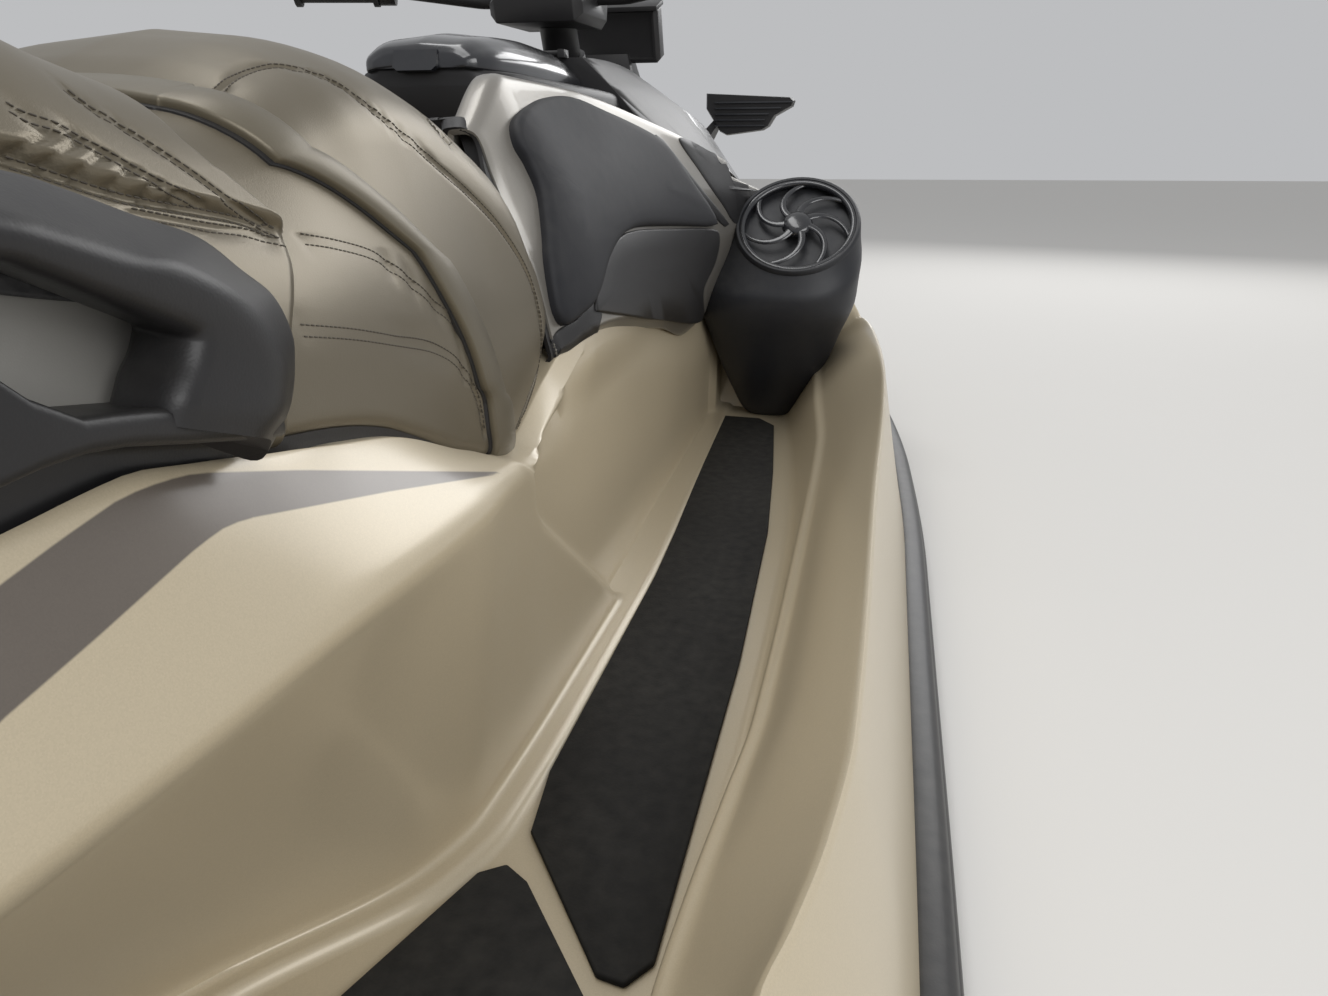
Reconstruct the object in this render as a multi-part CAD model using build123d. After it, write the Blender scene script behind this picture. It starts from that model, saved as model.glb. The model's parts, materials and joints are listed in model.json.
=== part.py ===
from build123d import *
import os
from math import cos, radians, sin

# Personal watercraft for three riders, in millimetres.
# +X points forward, +Y to port and +Z up. The origin is on the centreline,
# at mid-length, at the height of the waterline.

os.makedirs("parts", exist_ok=True)

# Overall size and hull
transom_x = -1640.0
bow_x = 1725.0
sheer_flange = 18.0
rail_proud = 12.0
rail_half_height = 20.0
strake_width = 24.0
chine_width = 30.0
part_gap = 0.3
running_gap = 5.0

# Footwells and mats
floor_z = 60.0
floor_depth = 28.0
mat_thickness = 6.0

# Pump, nozzle and bucket
jet_z = -165.0
pump_front_x = -1260.0
pump_back_x = -1470.0
pump_bore_r = 86.0
pump_wall = 10.0
blade_tip_gap = 5.0
hub_r = 36.0
shaft_r = 14.0
blade_count = 4
blade_pitch_deg = 52.0
blade_thickness = 5.0
vane_count = 6
vane_thickness = 5.0
venturi_start_x = -1530.0
venturi_end_x = -1592.0
outlet_r = 38.0
venturi_wall = 6.0
nozzle_pivot_x = -1582.0
nozzle_length = 95.0
nozzle_inlet_r = 56.0
nozzle_lip = 8.0
nozzle_outlet_r = 43.0
nozzle_wall = 6.0
nozzle_pin_r = 7.0
bucket_pivot_x = -1528.0
bucket_r = 170.0
bucket_wall = 8.0
bucket_half_width = 112.0
bucket_from_deg = 26.0
bucket_to_deg = 106.0
bucket_pin_r = 8.0
tunnel_half_width = 135.0
tunnel_top_z = 20.0
duct_half_width = 86.0
intake_aft_x = -1130.0
intake_front_x = -745.0

# Engine
engine_length = 740.0
engine_width = 420.0
engine_height = 450.0
engine_aft_x = -470.0
engine_floor_z = -190.0
bay_gap = 12.0

# Controls
bar_x = 270.0
bar_z = 800.0
bar_r = 11.0
bar_half_span = 395.0
grip_length = 125.0
grip_r = 17.0
steering_rake_deg = 25.0
column_length = 80.0
column_r = 30.0
lever_r = 5.0

# Seat, strap and grab rail
strap_width = 46.0
strap_thickness = 6.0
rail_bar_height = 38.0
rail_bar_width = 34.0
seat_gap = 4.0

# Lids
hood_from_x = 462.0
hood_to_x = 1330.0
hood_from_z = 540.0
hood_to_z = 375.0
hinge_r = 7.0
lid_wall = 16.0
glove_box_aft_x = -200.0
glove_box_front_x = 105.0
glove_box_half_width = 92.0
glove_box_rim_z = 655.0
glove_box_depth = 95.0
lid_pin_r = 4.0

# Boarding step, eyes and anchors
step_tube_r = 12.5
step_half_width = 170.0
step_height = 205.0
step_x = -1690.0
step_pivot_z = -200.0
eye_thickness = 12.0
eye_hole_r = 11.0
eye_r = 24.0
anchor_r = 22.0
anchor_depth = 18.0
anchor_margin = 6.0
anchor_x = -1500.0
anchor_y = 210.0

# Sheer line: station x, half-breadth, height of the hull-to-deck joint
SHEER = [
    (-1700, 572, 32), (-1640, 584, 32), (-1250, 608, 32), (-1000, 613, 32),
    (-600, 615, 32), (-100, 615, 36), (300, 599, 50), (680, 545, 82),
    (850, 503, 105), (1050, 432, 135), (1300, 321, 172), (1500, 205, 200),
    (1690, 64, 222),
]

# Hull bottom: station x, keel height, chine half-breadth and height
HULL = [
    (-1640, -300, 500, -118), (-1240, -300, 507, -116), (-840, -300, 508, -115),
    (-440, -300, 503, -114), (-40, -300, 492, -111), (360, -298, 462, -106), (700, -286, 425, -92),
    (980, -245, 362, -56), (1220, -165, 268, 12), (1420, -65, 172, 76), (1560, 40, 95, 126),
    (1660, 140, 36, 172),
]
strake_share = 0.52

# Footwell part of the deck: station x, gunwale ridge y and z, inner shoulder y and z, floor edge y
GUNWALE = [
    (-1700, 515, 84, 486, 76, 472), (-1500, 520, 118, 466, 92, 448),
    (-1250, 515, 196, 453, 120, 445), (-1000, 520, 225, 455, 130, 445),
    (-600, 547, 225, 465, 130, 448), (-100, 555, 226, 469, 132, 436),
    (300, 550, 240, 460, 150, 402), (680, 497, 268, 424, 185, 362),
]

# Pedestal under the seat: station x, foot y, crease y and z, top edge y and z
PEDESTAL = [
    (-1165, 40, 225, 330, 190, 415), (-1040, 100, 296, 346, 236, 421),
    (-920, 172, 304, 351, 239, 415), (-800, 243, 298, 351, 237, 392),
    (-680, 259, 278, 342, 230, 346), (-560, 260, 254, 290, 216, 306),
    (-440, 258, 242, 290, 212, 352), (-310, 256, 240, 330, 216, 392),
    (-160, 251, 240, 322, 217, 380), (0, 245, 239, 300, 216, 362), (160, 239, 238, 262, 214, 330),
    (330, 232, 234, 232, 210, 302), (505, 224, 228, 212, 204, 298), (680, 215, 222, 200, 196, 298),
]

# Foredeck: station x, gunwale ridge y and z, cowl edge y and z
FOREDECK = [
    (680, 497, 268, 275, 512), (850, 440, 285, 262, 480), (1050, 365, 300, 228, 442),
    (1300, 262, 312, 150, 394), (1500, 160, 310, 80, 352), (1690, 45, 290, 20, 296),
]

# Console: station x, lower edge y and z, bulge y and z, crest y and z
CONSOLE = [
    (-400, 214, 366, 196, 460, 132, 590), (-300, 232, 384, 206, 500, 128, 648),
    (-110, 236, 366, 222, 500, 150, 643), (80, 234, 338, 240, 485, 198, 616),
    (270, 230, 296, 258, 455, 240, 584), (470, 214, 284, 264, 425, 258, 558),
    (680, 200, 284, 276, 405, 308, 506),
]

# Seat: station x, bottom half-width and height, shoulder half-width and height, top height
SEAT = [
    (-205, 92, 470, 90, 505, 84, 546, 584), (-310, 106, 430, 104, 480, 96, 540, 592),
    (-405, 172, 374, 180, 408, 122, 520, 600), (-505, 214, 302, 212, 400, 168, 548, 624),
    (-610, 217, 308, 215, 425, 160, 586, 654), (-720, 225, 352, 218, 455, 157, 596, 660),
    (-840, 233, 390, 220, 480, 157, 592, 650), (-960, 237, 410, 221, 490, 158, 596, 656),
    (-1070, 232, 414, 217, 495, 157, 606, 668), (-1150, 214, 414, 204, 490, 147, 598, 656),
]

# Dash around the steering column: station x, lower edge y and z, shoulder y and z, top y and z
DASH = [
    (112, 190, 600, 140, 655, 92, 700), (260, 236, 575, 158, 658, 96, 706),
    (455, 262, 545, 172, 645, 92, 700),
]

# Hood: station x, edge half-width, shoulder y and z, top y and z
HOOD = [
    (462, 258, 176, 640, 92, 696), (650, 262, 190, 604, 95, 668), (850, 250, 180, 548, 85, 604),
    (1050, 215, 150, 492, 70, 532), (1330, 128, 82, 402, 36, 412),
]

# Front foot mat outline, port side: x, y
FRONT_MAT = [
    (546, 239), (172, 262), (-110, 279), (-268, 286), (-688, 290), (-765, 301), (-889, 390),
    (-893, 410), (-871, 425), (-462, 422), (-82, 407), (198, 383), (491, 352), (539, 318),
]

# Aft mat outline, port half: x, y
AFT_MAT = [
    (-1672, 0), (-1672, 425), (-1560, 436), (-960, 432), (-925, 402), (-819, 318),
    (-805, 297), (-818, 279), (-942, 238), (-1085, 128), (-1215, 96), (-1235, 0),
]

# Speaker pod: height z, centre x and y, radius along x and y
POD = [
    (62, 640, 330, 56, 48), (160, 602, 335, 96, 90), (260, 572, 338, 120, 130), (360, 554, 346, 130, 148),
    (460, 545, 372, 122, 124), (560, 545, 388, 112, 110),
]
pod_disc_x = 520.0
pod_disc_y = 382.0
pod_disc_z = 451.0
pod_disc_r = 106.0
pod_tilt_deg = 45.0
pod_top_z = 534.0

# Knee pad outline on the console's side: x, z
KNEE_PAD = [
    (-378, 400), (-352, 590), (-300, 628), (-140, 632), (60, 596), (150, 560),
    (372, 430), (330, 404), (120, 410), (20, 392), (-60, 352), (-200, 372), (-330, 384),
]


def row_at(table, x):
    """Values of a table's row at station x, in straight steps between its rows."""
    for low, high in zip(table, table[1:]):
        if low[0] <= x <= high[0]:
            share = (x - low[0]) / (high[0] - low[0])
            return [a + share * (b - a) for a, b in zip(low, high)][1:]
    raise ValueError(f"station {x} lies outside the table")


def cross_face(x, half):
    """Flat symmetric face across the craft at station x, from the (y, z) points of its port half."""
    port = [(x, y, z) for y, z in half]
    starboard = [(x, -y, z) for y, z in reversed(half) if y > 0]
    return make_face(Polyline(*port, *starboard, close=True))


def side_face(x, points):
    """Flat face at station x from (y, z) points of one side."""
    return make_face(Polyline(*[(x, y, z) for y, z in points], close=True))


def plan_prism(points, low_z, high_z):
    """Upright prism over an (x, y) outline."""
    face = make_face(Polyline(*[(x, y, low_z) for x, y in points], close=True))
    return extrude(face, amount=high_z - low_z, dir=(0, 0, 1))


def profile_prism(points, low_y, high_y):
    """Prism across the craft over an (x, z) outline."""
    face = make_face(Polyline(*[(x, low_y, z) for x, z in points], close=True))
    return extrude(face, amount=high_y - low_y, dir=(0, 1, 0))


def block(x0, x1, y0, y1, z0, z1):
    """Plain block between two corners."""
    return Pos((x0 + x1) / 2, (y0 + y1) / 2, (z0 + z1) / 2) * Box(x1 - x0, y1 - y0, z1 - z0)


def rod(start, end, radius):
    """Round bar from one point to another."""
    direction = Vector(*end) - Vector(*start)
    plane = Plane(origin=start, z_dir=direction)
    return extrude(plane * Circle(radius), amount=direction.length)


def largest(shape):
    """The biggest solid of a result, without slivers that a cut leaves."""
    return max(shape.solids(), key=lambda s: s.volume)


def mirrored(shape):
    return mirror(shape, about=Plane.XZ)


def hood_plane_z(x):
    """Height of the plane that the hood lies on."""
    share = (x - hood_from_x) / (hood_to_x - hood_from_x)
    return hood_from_z + share * (hood_to_z - hood_from_z)


def below_sheer():
    """Everything under the joint between hull and deck."""
    points = [(x, z) for x, _, z in SHEER]
    first, last = SHEER[0], SHEER[-1]
    outline = [(first[0] - 100, first[2])] + points
    outline += [(last[0] + 100, last[2]), (last[0] + 100, -600), (first[0] - 100, -600)]
    well = [(row[0], row[5] + 16) for row in GUNWALE]
    well += [(x, -y) for x, y in reversed(well)]
    return profile_prism(outline, -800, 800) - plan_prism(well, floor_z - floor_depth, 400)


def hull_section(x, keel_z, chine_y, chine_z):
    """Hull section with one lifting strake and a flat at the chine."""
    sheer_y, sheer_z = row_at(SHEER, x)
    rise = (chine_z - keel_z) / chine_y
    strake = min(strake_width, 0.1 * chine_y)
    flat = min(chine_width, 0.12 * chine_y)
    y1 = strake_share * chine_y

    def bottom(y):
        return keel_z + rise * y

    return cross_face(x, [
        (0, keel_z), (y1, bottom(y1)), (y1 + strake, bottom(y1)), (y1 + strake, bottom(y1 + strake)),
        (chine_y - flat, bottom(chine_y - flat)), (chine_y, bottom(chine_y - flat)),
        (chine_y + 0.72 * (sheer_y - chine_y), 0.45 * chine_z + 0.55 * (sheer_z - sheer_flange)),
        (sheer_y, sheer_z - sheer_flange),
        (sheer_y, sheer_z + sheer_flange),
    ])


def make_hull_blank():
    return loft([hull_section(*row) for row in HULL])


def footwell_section(x, ridge_y, ridge_z, shoulder_y, shoulder_z, edge_y):
    sheer_y, sheer_z = row_at(SHEER, x)
    return cross_face(x, [
        (sheer_y, floor_z - floor_depth - sheer_flange), (sheer_y, sheer_z + sheer_flange),
        (ridge_y, ridge_z), (shoulder_y, shoulder_z), (edge_y, floor_z),
    ])


def foredeck_section(x, ridge_y, ridge_z, cowl_y, cowl_z):
    sheer_y, sheer_z = row_at(SHEER, x)
    return cross_face(x, [
        (sheer_y, sheer_z - sheer_flange), (sheer_y, sheer_z + sheer_flange), (ridge_y, ridge_z),
        (cowl_y, cowl_z),
    ])


def pedestal_section(x, foot_y, crease_y, crease_z, top_y, top_z):
    return cross_face(x, [(foot_y, floor_z - floor_depth + 8), (crease_y, crease_z), (top_y, top_z)])


def make_deck_blank():
    deck = loft([footwell_section(*row) for row in GUNWALE])
    deck += loft([foredeck_section(*row) for row in FOREDECK])
    deck += loft([pedestal_section(*row) for row in PEDESTAL])
    return deck


def console_section(x, low_y, low_z, bulge_y, bulge_z, crest_y, crest_z, grow):
    return cross_face(x, [
        (low_y + grow, low_z - grow), (bulge_y + grow, bulge_z), (crest_y + grow, crest_z + grow),
    ])


def make_console_blank(grow=0.0):
    return loft([console_section(*row, grow) for row in CONSOLE])


def seat_section(x, low_y, low_z, belly_y, belly_z, side_y, side_z, top_z, grow):
    """Seat section: flat bottom, sides that lean in above the belly and a crowned top in four flats."""
    rise = top_z - side_z
    return cross_face(x, [
        (low_y + grow, low_z), (belly_y + grow, belly_z), (side_y + grow, side_z),
        (0.64 * side_y + grow, side_z + 0.8 * rise + grow), (0, top_z + grow),
    ])


def make_seat_blank(grow=0.0):
    return loft([seat_section(*row, grow) for row in SEAT])


def strap_slab(width):
    """Leaning slab across the seat, where the strap runs up from the seat's foot."""
    foot = Vector(-560, 0, 300)
    top = Vector(-850, 0, 640)
    along = (top - foot).normalized()
    across = Vector(-along.Z, 0, along.X)
    half = across * (width / 2)
    start = foot - along * 120
    end = top + along * 200
    corners = [start + half, end + half, end - half, start - half]
    return profile_prism([(p.X, p.Z) for p in corners], -400, 400)


def behind_strap():
    """Everything aft of the strap's middle line."""
    foot = Vector(-560, 0, 300)
    top = Vector(-850, 0, 640)
    along = (top - foot).normalized()
    low = foot - along * 300
    high = top + along * 400
    return profile_prism([(low.X, low.Z), (high.X, high.Z), (-1800, high.Z), (-1800, low.Z)], -400, 400)


def hood_section(x, edge_y, side_y, side_z, top_y, top_z, grow):
    return cross_face(x, [(edge_y + grow, hood_plane_z(x)), (side_y + grow, side_z + grow),
                          (top_y, top_z + grow)])


def make_hood_blank(grow=0.0):
    return loft([hood_section(*row, grow) for row in HOOD])


def hood_room():
    """Space that the hood needs, with its running gap all round."""
    outline = [(row[0], row[1] + running_gap) for row in HOOD]
    outline += [(HOOD[-1][0] + running_gap, HOOD[-1][1]), (HOOD[-1][0] + running_gap, -HOOD[-1][1])]
    outline += [(x, -y) for x, y in reversed(outline[:len(HOOD)])]
    outline += [(HOOD[0][0] - running_gap, -HOOD[0][1]), (HOOD[0][0] - running_gap, HOOD[0][1])]
    room = plan_prism(outline, 250, 800)
    under = profile_prism([(300, hood_plane_z(300)), (1500, hood_plane_z(1500)), (1500, 0), (300, 0)],
                          -500, 500)
    return room - under


def pod_section(z, x, y, rx, ry):
    return Pos(x, y, z) * Ellipse(rx, ry)


def pod_plane():
    """Plane of the grille on top of the port pod, facing aft and up."""
    tilt = radians(pod_tilt_deg)
    return Plane(origin=(pod_disc_x, pod_disc_y, pod_disc_z), x_dir=(0, 1, 0),
                 z_dir=(-sin(tilt), 0, cos(tilt)))


def make_pod():
    """Port speaker pod, cut off at the top by the grille's plane."""
    pod = loft([pod_section(*row) for row in POD])
    above = extrude(pod_plane() * Rectangle(900, 900), amount=400)
    pod -= above
    pod -= block(300, 900, 100, 600, pod_top_z, pod_top_z + 200)
    return pod


def make_grille():
    """Round speaker grille: a rim, a hub and swept bars in its frame."""
    depth = 8.0
    rim = Circle(pod_disc_r) - Circle(pod_disc_r - 12)
    hub = Circle(30)
    bars = Sketch()
    for angle in range(0, 360, 60):
        bars += Rot(0, 0, angle) * Pos(pod_disc_r / 2, 0) * Rectangle(pod_disc_r - 10, 9)
    face = rim + hub + (bars & Circle(pod_disc_r - 6))
    return extrude(pod_plane() * face, amount=depth)


def make_tunnel():
    """Pump tunnel, intake duct and shaft passage, as one cut."""
    cut = block(transom_x - 60, pump_front_x, -tunnel_half_width, tunnel_half_width, -400, tunnel_top_z)
    duct_top = jet_z + pump_bore_r
    duct_low = jet_z - pump_bore_r
    duct = [(intake_front_x, -400), (intake_aft_x, -400), (intake_aft_x - 65, duct_low),
            (pump_front_x - 2, duct_low), (pump_front_x - 2, duct_top), (intake_aft_x - 20, duct_top),
            (intake_aft_x + 70, duct_top - 34), (intake_front_x, duct_low + 11)]
    cut += profile_prism(duct, -duct_half_width, duct_half_width)
    cut += rod((-1100, 0, jet_z), (engine_aft_x - bay_gap, 0, jet_z), shaft_r + 6)
    return cut


def engine_bay():
    return block(engine_aft_x - bay_gap, engine_aft_x + engine_length + bay_gap,
                 -engine_width / 2 - bay_gap, engine_width / 2 + bay_gap,
                 engine_floor_z, engine_floor_z + engine_height + bay_gap)


def front_bin():
    """Storage well under the hood, open at the top."""
    return block(715, 1215, -150, 150, 40, 700)


def glove_bin():
    return block(glove_box_aft_x + 24, glove_box_front_x - 24, -72, 72,
                 glove_box_rim_z - glove_box_depth, glove_box_rim_z + 100)


def tube_along(points, radius, bends):
    """Round tube along a filleted path."""
    path = FilletPolyline(*points, radius=bends)
    start = path @ 0
    section = Plane(origin=start, z_dir=path % 0) * Circle(radius)
    return sweep(section, path=path)


def turned(points):
    """Ring turned about the pump's axis from (x, radius) points."""
    face = make_face(Polyline(*[(x, 0, jet_z + r) for x, r in points], close=True))
    return revolve(face, axis=Axis((0, 0, jet_z), (1, 0, 0)))


def stator_front_x():
    return pump_front_x - 0.52 * (pump_front_x - pump_back_x)


def make_pump():
    """Pump housing with its flange, stator vanes, hub, venturi and the bucket's two pins."""
    outer_r = pump_bore_r + pump_wall
    front_x = pump_front_x - part_gap
    housing = turned([(front_x, 0), (front_x, outer_r + 18), (front_x - 14, outer_r + 18),
                      (front_x - 14, outer_r), (pump_back_x, outer_r),
                      (venturi_start_x, outlet_r + venturi_wall), (venturi_end_x, outlet_r + venturi_wall),
                      (venturi_end_x, 0)])
    for side in (-1, 1):
        housing += rod((bucket_pivot_x, side * (outlet_r + 2), jet_z),
                       (bucket_pivot_x, side * (bucket_half_width - 6), jet_z), 15)
        housing += rod((bucket_pivot_x, side * 60, jet_z),
                       (bucket_pivot_x, side * (bucket_half_width + bucket_wall + 4), jet_z), bucket_pin_r)
        housing += rod((nozzle_pivot_x, 0, jet_z + side * (outlet_r + 2)),
                       (nozzle_pivot_x, 0, jet_z + side * (nozzle_inlet_r + nozzle_wall + 5)), nozzle_pin_r)
    housing -= turned([(front_x + 5, 0), (front_x + 5, pump_bore_r), (pump_back_x, pump_bore_r),
                       (venturi_start_x, outlet_r), (venturi_end_x - 1, outlet_r), (venturi_end_x - 1, 0)])
    stator_x = stator_front_x()
    bearing_x = stator_x - 70
    hub = turned([(stator_x, shaft_r + part_gap), (stator_x, hub_r), (pump_back_x, hub_r),
                  (pump_back_x - 46, 12), (pump_back_x - 46, 0), (bearing_x, 0),
                  (bearing_x, shaft_r + part_gap)])
    vane = block(pump_back_x + 4, stator_x - 4, -vane_thickness / 2, vane_thickness / 2,
                 hub_r - 4, pump_bore_r + 3)
    for index in range(vane_count):
        housing += Pos(0, 0, jet_z) * Rot(360 * index / vane_count, 0, 0) * vane
    return housing + hub


def make_impeller():
    """Impeller with twisted blades on its drive shaft."""
    tip_r = pump_bore_r - blade_tip_gap
    stator_x = stator_front_x()
    centre_x = (pump_front_x + stator_x) / 2 - 2
    hub = turned([(engine_aft_x - bay_gap + 4, 0), (engine_aft_x - bay_gap + 4, shaft_r),
                  (pump_front_x + 40, shaft_r), (pump_front_x - 4, hub_r), (stator_x + 5, hub_r),
                  (stator_x + 5, shaft_r), (stator_x - 60, shaft_r), (stator_x - 60, 0)])
    chord = 92.0
    sections = []
    for radius, pitch in ((hub_r - 8, blade_pitch_deg + 8), ((hub_r + tip_r) / 2, blade_pitch_deg),
                          (tip_r, blade_pitch_deg - 10)):
        plane = Plane(origin=(0, 0, radius), x_dir=(1, 0, 0), z_dir=(0, 0, 1))
        sections.append(plane * Rot(0, 0, 90 - pitch) * Rectangle(chord * (0.82 + 0.18 * radius / tip_r),
                                                                  blade_thickness))
    blade = loft(sections, ruled=True)
    round_limit = rod((centre_x - 70, 0, jet_z), (centre_x + 70, 0, jet_z), tip_r)
    span = block(stator_x + 5, pump_front_x - 2, -200, 200, jet_z - 200, jet_z + 200)
    blades = Part()
    for index in range(blade_count):
        blades += Pos(centre_x, 0, jet_z) * Rot(360 * index / blade_count, 0, 0) * blade
    return hub + (blades & round_limit & span)


def make_nozzle():
    """Steering nozzle that turns on two upright pins."""
    front_x = nozzle_pivot_x + nozzle_lip
    back_x = nozzle_pivot_x - nozzle_length
    front = Plane(origin=(front_x, 0, jet_z), z_dir=(-1, 0, 0))
    back = Plane(origin=(back_x, 0, jet_z), z_dir=(-1, 0, 0))
    nozzle = loft([front * Circle(nozzle_inlet_r + nozzle_wall),
                   back * Circle(nozzle_outlet_r + nozzle_wall)])
    nozzle += rod((nozzle_pivot_x, 0, jet_z - nozzle_inlet_r - nozzle_wall - 3),
                  (nozzle_pivot_x, 0, jet_z + nozzle_inlet_r + nozzle_wall + 3), nozzle_pin_r + 8)
    arm = block(nozzle_pivot_x - 8, nozzle_pivot_x + 8, -nozzle_inlet_r - 16, -nozzle_inlet_r + 4,
                jet_z - 6, jet_z + 6)
    nozzle += arm
    nozzle -= loft([front * Circle(nozzle_inlet_r), back * Circle(nozzle_outlet_r)])
    nozzle -= rod((front_x, 0, jet_z), (front_x + 20, 0, jet_z), nozzle_inlet_r)
    nozzle -= rod((nozzle_pivot_x, 0, jet_z - 120), (nozzle_pivot_x, 0, jet_z + 120), nozzle_pin_r + part_gap)
    return nozzle


def make_bucket():
    """Reverse bucket: a curved scoop between two side arms, stowed above the nozzle."""
    outer = bucket_r + bucket_wall
    centre = (bucket_pivot_x, jet_z)

    def at(radius, degrees):
        return (centre[0] - radius * cos(radians(degrees)), centre[1] + radius * sin(radians(degrees)))

    middle = (bucket_from_deg + bucket_to_deg) / 2

    def wedge(inner, low_y, high_y):
        def lift(point):
            return (point[0], low_y, point[1])
        edges = [
            ThreePointArc(lift(at(outer, bucket_from_deg)), lift(at(outer, middle)),
                          lift(at(outer, bucket_to_deg))),
            Line(lift(at(outer, bucket_to_deg)), lift(at(inner, bucket_to_deg))),
            ThreePointArc(lift(at(inner, bucket_to_deg)), lift(at(inner, middle)),
                          lift(at(inner, bucket_from_deg))),
            Line(lift(at(inner, bucket_from_deg)), lift(at(outer, bucket_from_deg))),
        ]
        return extrude(make_face(edges), amount=high_y - low_y, dir=(0, 1, 0))

    half = bucket_half_width + bucket_wall
    scoop = wedge(bucket_r, -half, half)
    for side in (-1, 1):
        low = min(side * bucket_half_width, side * half)
        hub_start = (bucket_pivot_x, low, jet_z)
        hub_end = (bucket_pivot_x, low + bucket_wall, jet_z)
        arm = wedge(105, low, low + bucket_wall)
        arm += rod(hub_start, hub_end, 22)
        tip = at(115, middle)
        root_a = at(20, middle - 90)
        root_b = at(20, middle + 90)
        tip_a = at(118, middle - 30)
        tip_b = at(118, middle + 30)
        arm += profile_prism([root_a, tip_a, tip, tip_b, root_b], low, low + bucket_wall)
        arm -= rod((bucket_pivot_x, low - 2, jet_z), (bucket_pivot_x, low + bucket_wall + 2, jet_z),
                   bucket_pin_r + part_gap)
        scoop += arm
    return scoop


def make_grate():
    """Intake grate: four bars along the intake on two crossbars."""
    low = hull_bottom_z(0) + 12
    grate = Part()
    half = duct_half_width - part_gap
    for y in (-54, -18, 18, 54):
        z = hull_bottom_z(y) + 12
        grate += block(intake_aft_x + part_gap, intake_front_x - part_gap, y - 5, y + 5, z, z + 20)
    for x in (intake_aft_x + 26, intake_front_x - 37):
        grate += block(x - 8, x + 8, -half, half, low + 24, low + 40)
    for y in (-54, -18, 18, 54):
        for x in (intake_aft_x + 26, intake_front_x - 37):
            grate += block(x - 8, x + 8, y - 5, y + 5, hull_bottom_z(y) + 12, low + 40)
    return grate


def hull_bottom_z(y):
    """Height of the hull's vee at the stern, at distance y from the centreline."""
    _, keel_z, chine_y, chine_z = HULL[0]
    return keel_z + abs(y) * (chine_z - keel_z) / chine_y


def make_ride_plate():
    """Plate that closes the tunnel from below, to the keel's own vee."""
    half = tunnel_half_width - part_gap
    section = [(0, hull_bottom_z(0)), (half, hull_bottom_z(half)), (half, hull_bottom_z(half) + 10),
               (60, hull_bottom_z(60) + 10), (0, hull_bottom_z(0) + 10)]
    aft_x = transom_x + 36
    plate = extrude(cross_face(aft_x, section), amount=pump_front_x - aft_x - part_gap, dir=(1, 0, 0))
    for x in (-1560, -1500, -1440, -1380):
        plate -= block(x, x + 26, -44, 44, -400, -200)
    return plate


def make_sponson(hull_blank):
    """Port side fin along the hull's side, just above the chine."""
    rows = [(-1560, 560, -150, -70), (-1300, 575, -165, -60), (-960, 560, -150, -75), (-860, 530, -130, -85)]
    sections = [side_face(x, [(440, low), (y, low - 4), (y, low + 16), (500, high), (440, high)])
                for x, y, low, high in rows]
    return loft(sections, ruled=True) - hull_blank


def make_handlebar():
    points = [(bar_x - 88, -bar_half_span, bar_z + 12), (bar_x - 40, -bar_half_span + 150, bar_z + 14),
              (bar_x, -120, bar_z), (bar_x, 120, bar_z),
              (bar_x - 40, bar_half_span - 150, bar_z + 14), (bar_x - 88, bar_half_span, bar_z + 12)]
    return tube_along(points, bar_r, 60)


def grip_points(side):
    outer = Vector(bar_x - 88, side * bar_half_span, bar_z + 12)
    inner = Vector(bar_x - 40, side * (bar_half_span - 150), bar_z + 14)
    along = (inner - outer).normalized()
    return outer, inner, along


def make_grip(side):
    outer, inner, along = grip_points(side)
    start = outer - along * 4
    end = outer + along * grip_length
    grip = rod(start, end, grip_r)
    grip += rod(start, start + along * 8, grip_r + 6)
    grip += rod(end - along * 8, end, grip_r + 6)
    return grip - rod(outer, end + along * 20, bar_r + 0.2)


def make_lever(side):
    """Control lever ahead of the grip, on a clamp round the bar."""
    outer, inner, along = grip_points(side)
    clamp_start = outer + along * (grip_length + 2)
    clamp = rod(clamp_start, clamp_start + along * 24, bar_r + 10)
    clamp -= rod(clamp_start - along * 5, clamp_start + along * 40, bar_r + 0.2)
    base = clamp_start + along * 12 + Vector(bar_r + 4, 0, 0)
    elbow = base + Vector(38, 0, 0) - along * 14
    tip = elbow - along * (grip_length - 20) + Vector(4, 0, 0)
    lever = clamp + rod(base, elbow, lever_r + 2) + rod(elbow, tip, lever_r)
    lever += Pos(*elbow) * Sphere(lever_r + 2)
    lever += Pos(*tip) * Sphere(lever_r + 2)
    return lever


def make_steering_head():
    """Padded head on the raked steering column."""
    top, foot, _ = column_line()
    column = rod(foot, top, column_r)
    profile = [(bar_x - 96, bar_z - 44), (bar_x - 104, bar_z - 12), (bar_x - 40, bar_z + 34),
               (bar_x + 30, bar_z + 36), (bar_x + 66, bar_z + 8), (bar_x + 52, bar_z - 40)]
    head = profile_prism(profile, -74, 74)
    head = chamfer(head.edges().filter_by(GeomType.LINE).filter_by(Axis.Y, reverse=True), 12)
    head += column
    bar = rod((bar_x, -120, bar_z), (bar_x, 120, bar_z), bar_r + 0.2)
    return head - bar


def make_mirror():
    """Port mirror: a finned housing on a short stalk, standing on the hood's side."""
    profile = [(905, 596), (975, 606), (1000, 640), (985, 690), (930, 706), (900, 700), (893, 640)]
    housing = profile_prism(profile, 128, 338)
    housing = chamfer(housing.edges().filter_by(Axis.Y), 8)
    fins = Part()
    for z in (622, 650, 678):
        fins += block(960, 1006, 140, 326, z - 3, z + 3)
    face = block(889, 897, 146, 320, 612, 690)
    stalk = loft([Pos(945, 150, 470) * Rectangle(96, 64), Pos(940, 172, 624) * Rectangle(52, 44)])
    return housing + (fins & profile_prism(profile, 128, 338)) + face + stalk


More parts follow.
